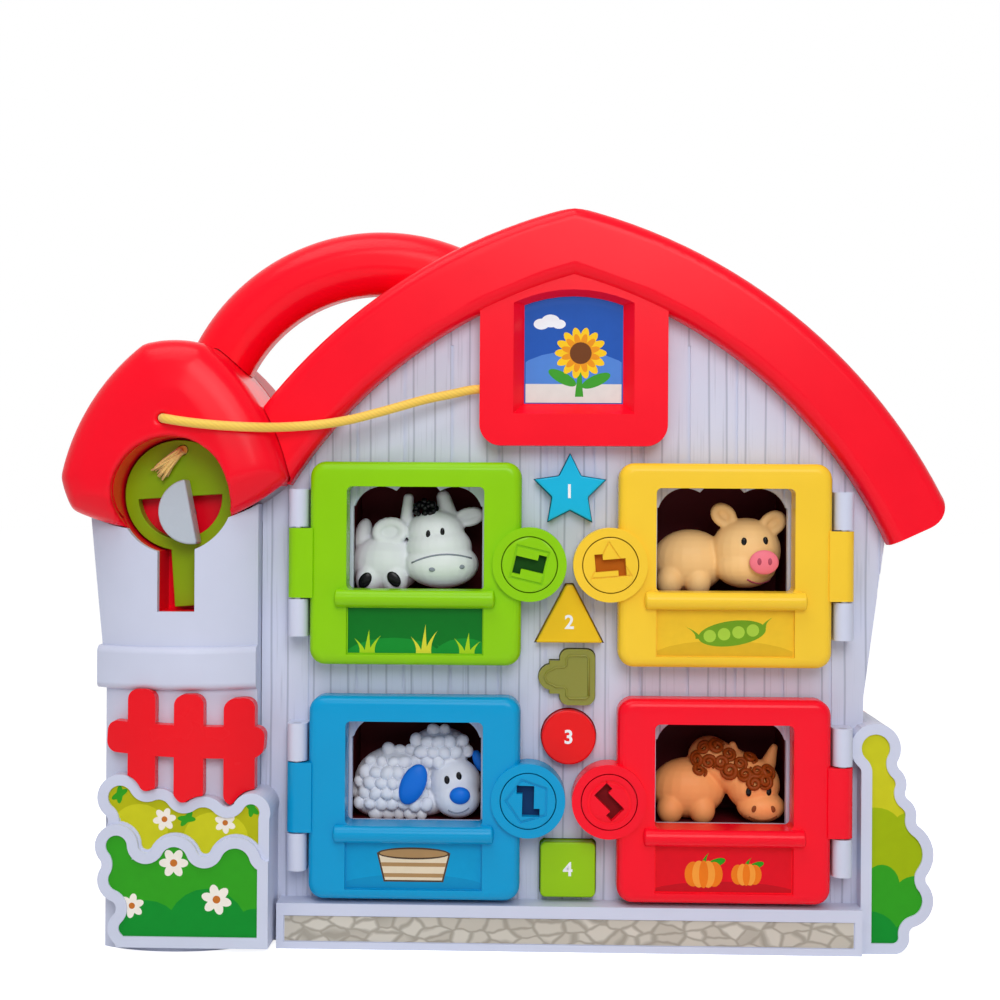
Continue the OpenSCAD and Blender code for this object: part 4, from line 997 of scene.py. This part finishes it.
    def pod_panel(self):
        ground, field, pod, pea = self.inks("straw", "field", "pod", "pea")
        layers = [(ellipse(0, -8, 22, 6), field), (ellipse(2, 0, 9.5, 3.5, 8, 36), pod)]
        layers += [(ellipse(-4.2 + 4 * i, -0.8 + 0.56 * i, 1.75, steps=18), pea) for i in range(4)]
        layers += [(blade(-7.4, -1.6, -3.6, 3.4, 1.6), pod), (blade(10.8, 1.6, 2.6, 3, 1.4), pod)]
        self.panel("yellow", ground, layers)

    def bucket_panel(self):
        ground, shade, outline, wood, hoop = self.inks("water blue", "pond", "umber", "oat", "tan")
        layers = [(ellipse(0, -8, 24, 5.6), shade),
                  ([(-10.4, 3.6), (-8.4, -4.6), (8.4, -4.6), (10.4, 3.6)], outline),
                  ([(-9.8, 3.1), (-8.0, -4.1), (8.0, -4.1), (9.8, 3.1)], wood),
                  (ellipse(0, 3.4, 10.2, 1.7), outline), (ellipse(0, 3.4, 9.6, 1.2), hoop),
                  ([(-9.2, 0.8), (-8.9, -0.3), (8.9, -0.3), (9.2, 0.8)], hoop),
                  ([(-8.5, -2.2), (-8.2, -3.3), (8.2, -3.3), (8.5, -2.2)], hoop)]
        self.panel("blue", ground, layers)

    def pumpkin_panel(self):
        ground, soil, skin, ridge, leaf = self.inks("wine", "soil", "pumpkin", "pumpkin light", "leaf")
        layers = [(ellipse(0, -8.4, 24, 5), soil)]
        for x, size in ((-5.5, 1.0), (6.4, 0.8)):
            layers += [(blade(x, 2.6 * size - 1.4, 1.4, 3.4 * size, 1.6), leaf),
                       (ellipse(x + 3.4 * size, 3 * size - 1.2, 2.8 * size, 1.1 * size, 20, 16), leaf)]
            layers += [(ellipse(x + dx * size, -1.4, rx * size, rz * size, 0, 20), ink)
                       for dx, rx, rz, ink in ((-2.9, 2.4, 3.5, skin), (2.9, 2.4, 3.5, skin),
                                               (-1.3, 1.9, 3.8, ridge), (1.3, 1.9, 3.8, ridge),
                                               (0, 1.3, 3.9, skin))]
        self.panel("red", ground, layers)

    def loft_picture(self):
        """A sunflower under the sky, on the loft's picture panel."""
        sky, dusk, cloud, sill, stem, petal, gold, seed = self.inks(
            "sky", "pale sky", "cloud", "sill", "stem", "sunflower", "gold", "seed")
        # Middle, low and high edge, half width, then radius and half angle of the arched top
        x, low, high, half, r, turn = 0.8, 154.3, 182.4, 13.6, 38.5, 20.7
        arch = [(x + r * math.sin(a), high - r + r * math.cos(a))
                for a in [math.radians(turn * (1 - i / 8)) for i in range(17)]]
        area = [[(x - half, low), (x + half, low), *arch]]
        flower_x, flower_z = x + 2, 168.4
        layers = [(ellipse(x, 160, 18, 9), dusk)]
        layers += [(ellipse(x + dx, 176.6 + dz, puff, 0.7 * puff), cloud)
                   for dx, dz, puff in ((-9.2, 0, 2.2), (-6.6, 0.9, 2.6), (-4.2, 0, 1.9))]
        layers += [(box(x - 20, 150, x + 20, 159.6), sill), (blade(x + 1.6, 156, 0.6, 12, 2.4), stem),
                   (ellipse(x - 3.2, 161.4, 4.4, 1.6, -28), stem),
                   (ellipse(x + 6.4, 160.6, 4.4, 1.6, 24), stem)]
        for count, ring, reach, ink in ((14, 4.6, 2.8, petal), (12, 3.6, 2.0, gold)):
            for i in range(count):
                angle = 2 * math.pi * (i + 0.5 * (ink is gold)) / count
                px, pz = flower_x + ring * math.cos(angle), flower_z + ring * math.sin(angle)
                layers.append((ellipse(px, pz, reach, 0.44 * reach, math.degrees(angle), 14), ink))
        layers.append((ellipse(flower_x, flower_z, 3.1), seed))
        paint(NODES["loft_picture"], moulded_abs("picture board, moulded", linear("#1f55b0"), 0.4))
        cut_print("loft_print", area, sky, layers, self.LOFT_Y)


class BARN_OT_figures(bpy.types.Operator):
    """Makes the cow, pig, sheep and horse"""
    bl_idname = "barn.figures"
    bl_label = "Figures"

    # Places and radii on a figure are in millimetres from the middle of its window: how far an eye stands
    # out, and the radii of a foot
    EYE_RISE = 0.45
    FOOT = (3.9, 4.2, 4.6)

    def execute(self, context):
        self.eye = moulded_abs("eye paint, black gloss", linear("#0c0c10"), 0.2)
        self.white = moulded_abs("white figure vinyl, moulded", colours("white_figure"), 0.42)
        # Grey of the mouth lines and nostrils on the white figures: painted shade of their grooves and dents
        self.crease = moulded_abs("figure crease, sprayed grey", linear("#8d93a3"), 0.5)
        self.cow()
        self.pig()
        self.sheep()
        self.horse()
        return {"FINISHED"}

    def seat(self, animal, colour, shape, materials, slot):
        """Puts a figure made about the window's middle into its stall."""
        mesh = mesh_of(animal, shape)
        mesh.transform(Matrix.Translation(mm(DOOR_X[colour], FIGURE_Y, DOOR_Z[colour] + WINDOW_UP)))
        piece(animal, mesh, materials, "root", (animal + "_figure",))

    def eyes(self, shape, tree, places, rx, rz, turn=0):
        """Sets two eyes on a figure's front."""
        for place in places:
            dab(shape, tree, place, (rx, self.EYE_RISE, rz), turn, 1)

    def cow(self):
        shape, tree = fuse(
            balls=(((-10.4, 12, -8), (10.6, 8, 9)), ((-17.4, 12.4, 0), (2.7, 3, 5.4), 14),
                   ((-15, 7.4, -12.4), self.FOOT), ((-7.2, 7.4, -12.4), self.FOOT),
                   ((4.6, 8.4, 1.6), (8.3, 6.4, 6.4)), ((5.6, 7.6, -3), (9.6, 6.8, 7)),
                   ((6.4, 6.8, -7.9), (10.8, 6.6, 7))),
            ears=(((-8.9, 8.4, 1.4), 5.4, 4.4, -8, 1.5), ((14.2, 9.4, 5.9), 4.6, 2.9, -14, 1.2)),
            limbs=(((-4.2, 10, 5), 2.0, (-3.6, 9.4, 11.2), 1.6), ((7.8, 10, 7), 2.7, (6.6, 9.4, 11.6), 2.1)))
        self.eyes(shape, tree, ((2.7, 0.9), (6.8, 1.6)), 0.65, 1.2)
        # Mouth line and nostrils in the crease grey, painted shade
        drawn_line(shape, tree, arc_places((-2.0, -7.4), (7.2, -4.9), (15.2, -6.0)), 0.28, 2)
        for place in ((4.0, -9.2), (12.4, -8.4)):
            dab(shape, tree, place, (0.95, 0.3, 0.65), 0, 2)
        draw = random.Random(11)
        for _ in range(34):
            angle, reach = draw.uniform(0, 2 * math.pi), math.sqrt(draw.random())
            r = draw.uniform(0.75, 1.15)
            ball(shape, (1.4 + 3.0 * reach * math.cos(angle), draw.uniform(4.6, 8),
                         8.3 + 2.3 * reach * math.sin(angle)), (r, r, r), 0, 1)
        for x, z, turn in ((-15.6, -12.6, 32), (-7.2, -12.2, -38)):
            dab(shape, tree, (x, z), (1.7, 0.5, 2.5), turn, 1)
        self.seat("cow", "green", shape, [self.white, self.eye, self.crease], "figure_white")

    def sheep(self):
        shape, tree = fuse(
            balls=(((-7, 11.6, -6), (12.4, 8.4, 10.4)), ((6, 10.6, 3.8), (9, 6, 6.6)),
                   ((-13.4, 11, -11.4), (6, 7, 4.6)), ((0, 10.6, -11.6), (9, 7, 4.4)),
                   ((10.6, 7.8, -5.4), (7.6, 6.2, 7)), ((11.4, 6, -9.6), (6.8, 5.6, 6))))
        # Tufts of wool in rows over the back, crown and flank, and none on the face
        draw = random.Random(23)
        for row in range(9):
            z = -14.4 + 3.0 * row
            for column in range(12):
                x = -18.8 + 3.3 * column + (row % 2) * 1.6
                on_face = (x - 10.8) ** 2 / 66 + (z + 7) ** 2 / 72 < 1
                on_wool = ((x + 7) ** 2 / 150 + (z + 6) ** 2 / 106 < 1
                           or (x - 6) ** 2 / 79 + (z - 3.8) ** 2 / 42 < 1
                           or (x + 6) ** 2 / 156 + (z + 11.4) ** 2 / 17 < 1)
                point, _ = on_front(tree, x, z)
                if on_wool and not on_face and point:
                    r = draw.uniform(1.8, 2.4)
                    ball(shape, point / MM, (r, 0.75 * r, 0.85 * r), draw.uniform(0, 180))
        ball(shape, (-1.2, 1.8, -5.2), (3.6, 1.5, 6.2), 24, 2)
        ball(shape, (17.6, 8.4, 0.6), (1.7, 1.5, 3.4), -24, 2)
        self.eyes(shape, tree, ((8.6, -3.9), (12, -2.8)), 0.8, 1.25, -8)
        dab(shape, tree, (12.4, -8.1), (3.0, 1.7, 2.5), 0, 2)
        # Mouth line in the crease grey, painted shade
        drawn_line(shape, tree, arc_places((9, -12.4), (11.8, -13.2), (15, -11.8)), 0.25, 3)
        blue = moulded_abs("figure paint, blue", linear("#1676e0"), 0.4)
        self.seat("sheep", "blue", shape, [self.white, self.eye, blue, self.crease], "figure_white")

    def pig(self):
        shape, tree = fuse(
            balls=(((-8, 12, -6.5), (11, 8, 9.2)), ((8, 8.8, -3.4), (10.2, 7.6, 9.6)),
                   ((7.6, 7.6, -7.6), (9.2, 6.8, 6.6)), ((11.6, 3.4, -6.4), (4.9, 4.2, 4.3)),
                   ((-14.2, 7.6, -12.4), self.FOOT), ((-6, 7.6, -12.4), self.FOOT)),
            ears=(((15.4, 7.4, 4.6), 4.4, 3.5, -38), ((1.4, 8.2, 6.8), 4.2, 3.4, 40)))
        self.eyes(shape, tree, ((6.6, -0.6), (12.8, -0.4)), 0.8, 1.2)
        snout = dab(shape, tree, (12, -6.4), (4.2, 0.8, 3.5), 0, 2)
        # Nostrils and mouth line in rose, painted shade
        for x in (10.6, 13.6):
            ball(shape, (x, snout.y / MM - 0.7, -6.2), (0.6, 0.3, 1.0), 0, 3)
        drawn_line(shape, tree, arc_places((7.6, -11.4), (11.6, -12.6), (15.4, -11.2)), 0.28, 3)
        peach = moulded_abs("peach figure vinyl, moulded", colours("peach_figure"), 0.42)
        pink = moulded_abs("figure paint, pink", linear("#f57f96"), 0.4)
        # Rose of the nostrils and mouth line: painted shade
        rose = moulded_abs("figure paint, rose shade", linear("#b5506a"), 0.45)
        self.seat("pig", "yellow", shape, [peach, self.eye, pink, rose], "figure_peach")

    def horse(self):
        shape, tree = fuse(
            balls=(((-8, 12, -7), (11, 8, 8.8)), ((10.4, 8.4, -5.4), (7.9, 6.6, 7.6)),
                   ((12.4, 6.2, -11.2), (7, 5.8, 4.6)), ((-13.6, 7.6, -12.4), self.FOOT),
                   ((-4.4, 7.6, -12.4), self.FOOT)),
            limbs=(((-2, 12, 2), 6.2, (7, 10, -3), 6.6), ((5.6, 10, 0.8), 2.3, (4.6, 9.4, 6), 1.1),
                   ((15, 10, 0.4), 2.3, (16.6, 9.4, 5.4), 1.1)))
        self.eyes(shape, tree, ((8.4, -6.4), (14.2, -6.2)), 0.8, 1.3)
        # Nostrils and mouth line in brown, painted shade
        for x, turn in ((9.8, 20), (15.2, -20)):
            dab(shape, tree, (x, -11), (0.7, 0.3, 1.0), turn, 3)
        drawn_line(shape, tree, arc_places((8.6, -13.4), (12.4, -14.4), (16.4, -13.2)), 0.28, 3)
        draw = random.Random(31)
        for x, z in ((6.2, 1.2), (9.2, 2.4), (12.4, 2.2), (7.6, -1.6), (10.8, -0.8), (13.8, -1.0), (10, -3.8),
                     (13, -3.4), (3.0, 3.6), (-0.4, 5.6), (-3.8, 5.2), (0.8, 1.6), (-2.6, 1.6), (-5.6, 2.2),
                     (3.2, -0.6), (-5.4, -1.2)):
            curl(shape, tree, x, z, draw.uniform(2.0, 2.5), draw.uniform(0, 360), 2)
        orange = moulded_abs("orange figure vinyl, moulded", colours("orange_figure"), 0.42)
        mane = moulded_abs("figure paint, chestnut", linear("#94420f"), 0.45)
        # Brown of the nostrils and mouth line: painted shade
        shade = moulded_abs("figure paint, brown shade", linear("#8a4a24"), 0.5)
        self.seat("horse", "red", shape, [orange, self.eye, mane, shade], "figure_orange")


class BARN_OT_fittings(bpy.types.Operator):
    """Finishes the screws, switch, batteries, board and speaker"""
    bl_idname = "barn.fittings"
    bl_label = "Fittings"

    # Screw heads as x, z, the depth of their face and their radius, in millimetres
    HEADS = ((-70, 75.6, 10, 2.8), (70, 75.6, 10, 2.8), (-46, 146, 10, 2.8), (50, 146, 10, 2.8),
             (0, 8.5, 10, 2.8), (-112, 60, 10, 2.8), (0.8, 148.2, 26.8, 2.0))
    HEAD_RISE = 0.5
    # Radius of the drawn head, reach of its cross recess and half width of the cross, for a head of radius 1
    HEAD_FIT, CROSS_ARM, CROSS_HALF = 0.96, 0.62, 0.14

    def execute(self, context):
        steel = bright_steel()
        clear = {"Transmission Weight": 0.5}
        for name, material in (
                ("case_screws", steel), ("battery_screw", steel), ("battery_contacts", steel),
                ("button_pads", moulded_abs("silicone rubber, moulded", linear("#4a4e56"), 0.65)),
                ("circuit_board", moulded_abs("glass-epoxy board, lacquered", linear("#1f6b3a"), 0.3)),
                ("light_diode", moulded_abs("diode epoxy, cast", linear("#f0f0de"), 0.15, **clear)),
                ("speaker", moulded_abs("speaker paper, pressed", linear("#2c2c30"), 0.6)),
                ("battery_cells", moulded_abs("cell sleeve, shrunk film", linear("#3f7a4a"), 0.3)),
                ("power_switch", moulded_abs("switch ABS, moulded", linear("#26262a"), 0.4))):
            finish(name, material, 0.3 * sizes().edge)
        for i, (x, z, depth, r) in enumerate(self.HEADS):
            arm, half = self.CROSS_ARM * r, self.CROSS_HALF * r
            cross = [(-arm, -half), (-half, -half), (-half, -arm), (half, -arm), (half, -half), (arm, -half),
                     (arm, half), (half, half), (half, arm), (-half, arm), (-half, half), (-arm, half)]
            recess = [(x + px, z + pz) for px, pz in cross]
            cut_print(f"screw_head_{i}", [ellipse(x, z, self.HEAD_FIT * r, steps=28)], steel, [],
                      depth + self.HEAD_RISE, cutouts=[recess], thickness=self.HEAD_RISE * MM)
        return {"FINISHED"}


class BARN_PT_toy(bpy.types.Panel):
    """Lists the steps that dress the barn, and its colours and sizes"""
    bl_idname = "BARN_PT_toy"
    bl_label = "Shape Sorter Barn"
    bl_space_type = "VIEW_3D"
    bl_region_type = "UI"
    bl_category = "Barn"

    def draw(self, context):
        for step in STEPS:
            self.layout.operator(step.bl_idname)
        for group in (context.scene.barn_colours, context.scene.barn_sizes):
            column = self.layout.column()
            for name in group.__annotations__:
                column.prop(group, name)


STEPS = (BARN_OT_stage, BARN_OT_shells, BARN_OT_roof, BARN_OT_doors, BARN_OT_buttons, BARN_OT_key,
         BARN_OT_tether_cord, BARN_OT_prints, BARN_OT_figures, BARN_OT_fittings)
CLASSES = (BarnColours, BarnSizes, *STEPS, BARN_PT_toy)


def register():
    for made in CLASSES:
        bpy.utils.register_class(made)
    bpy.types.Scene.barn_colours = bpy.props.PointerProperty(type=BarnColours)
    bpy.types.Scene.barn_sizes = bpy.props.PointerProperty(type=BarnSizes)


def unregister():
    del bpy.types.Scene.barn_sizes
    del bpy.types.Scene.barn_colours
    for made in reversed(CLASSES):
        bpy.utils.unregister_class(made)


def main():
    register()
    bpy.ops.barn.stage()
    bpy.ops.barn.shells()
    bpy.ops.barn.roof()
    bpy.ops.barn.doors()
    bpy.ops.barn.buttons()
    bpy.ops.barn.key()
    bpy.ops.barn.tether_cord()
    bpy.ops.barn.prints()
    bpy.ops.barn.figures()
    bpy.ops.barn.fittings()


if __name__ == "__main__":
    main()
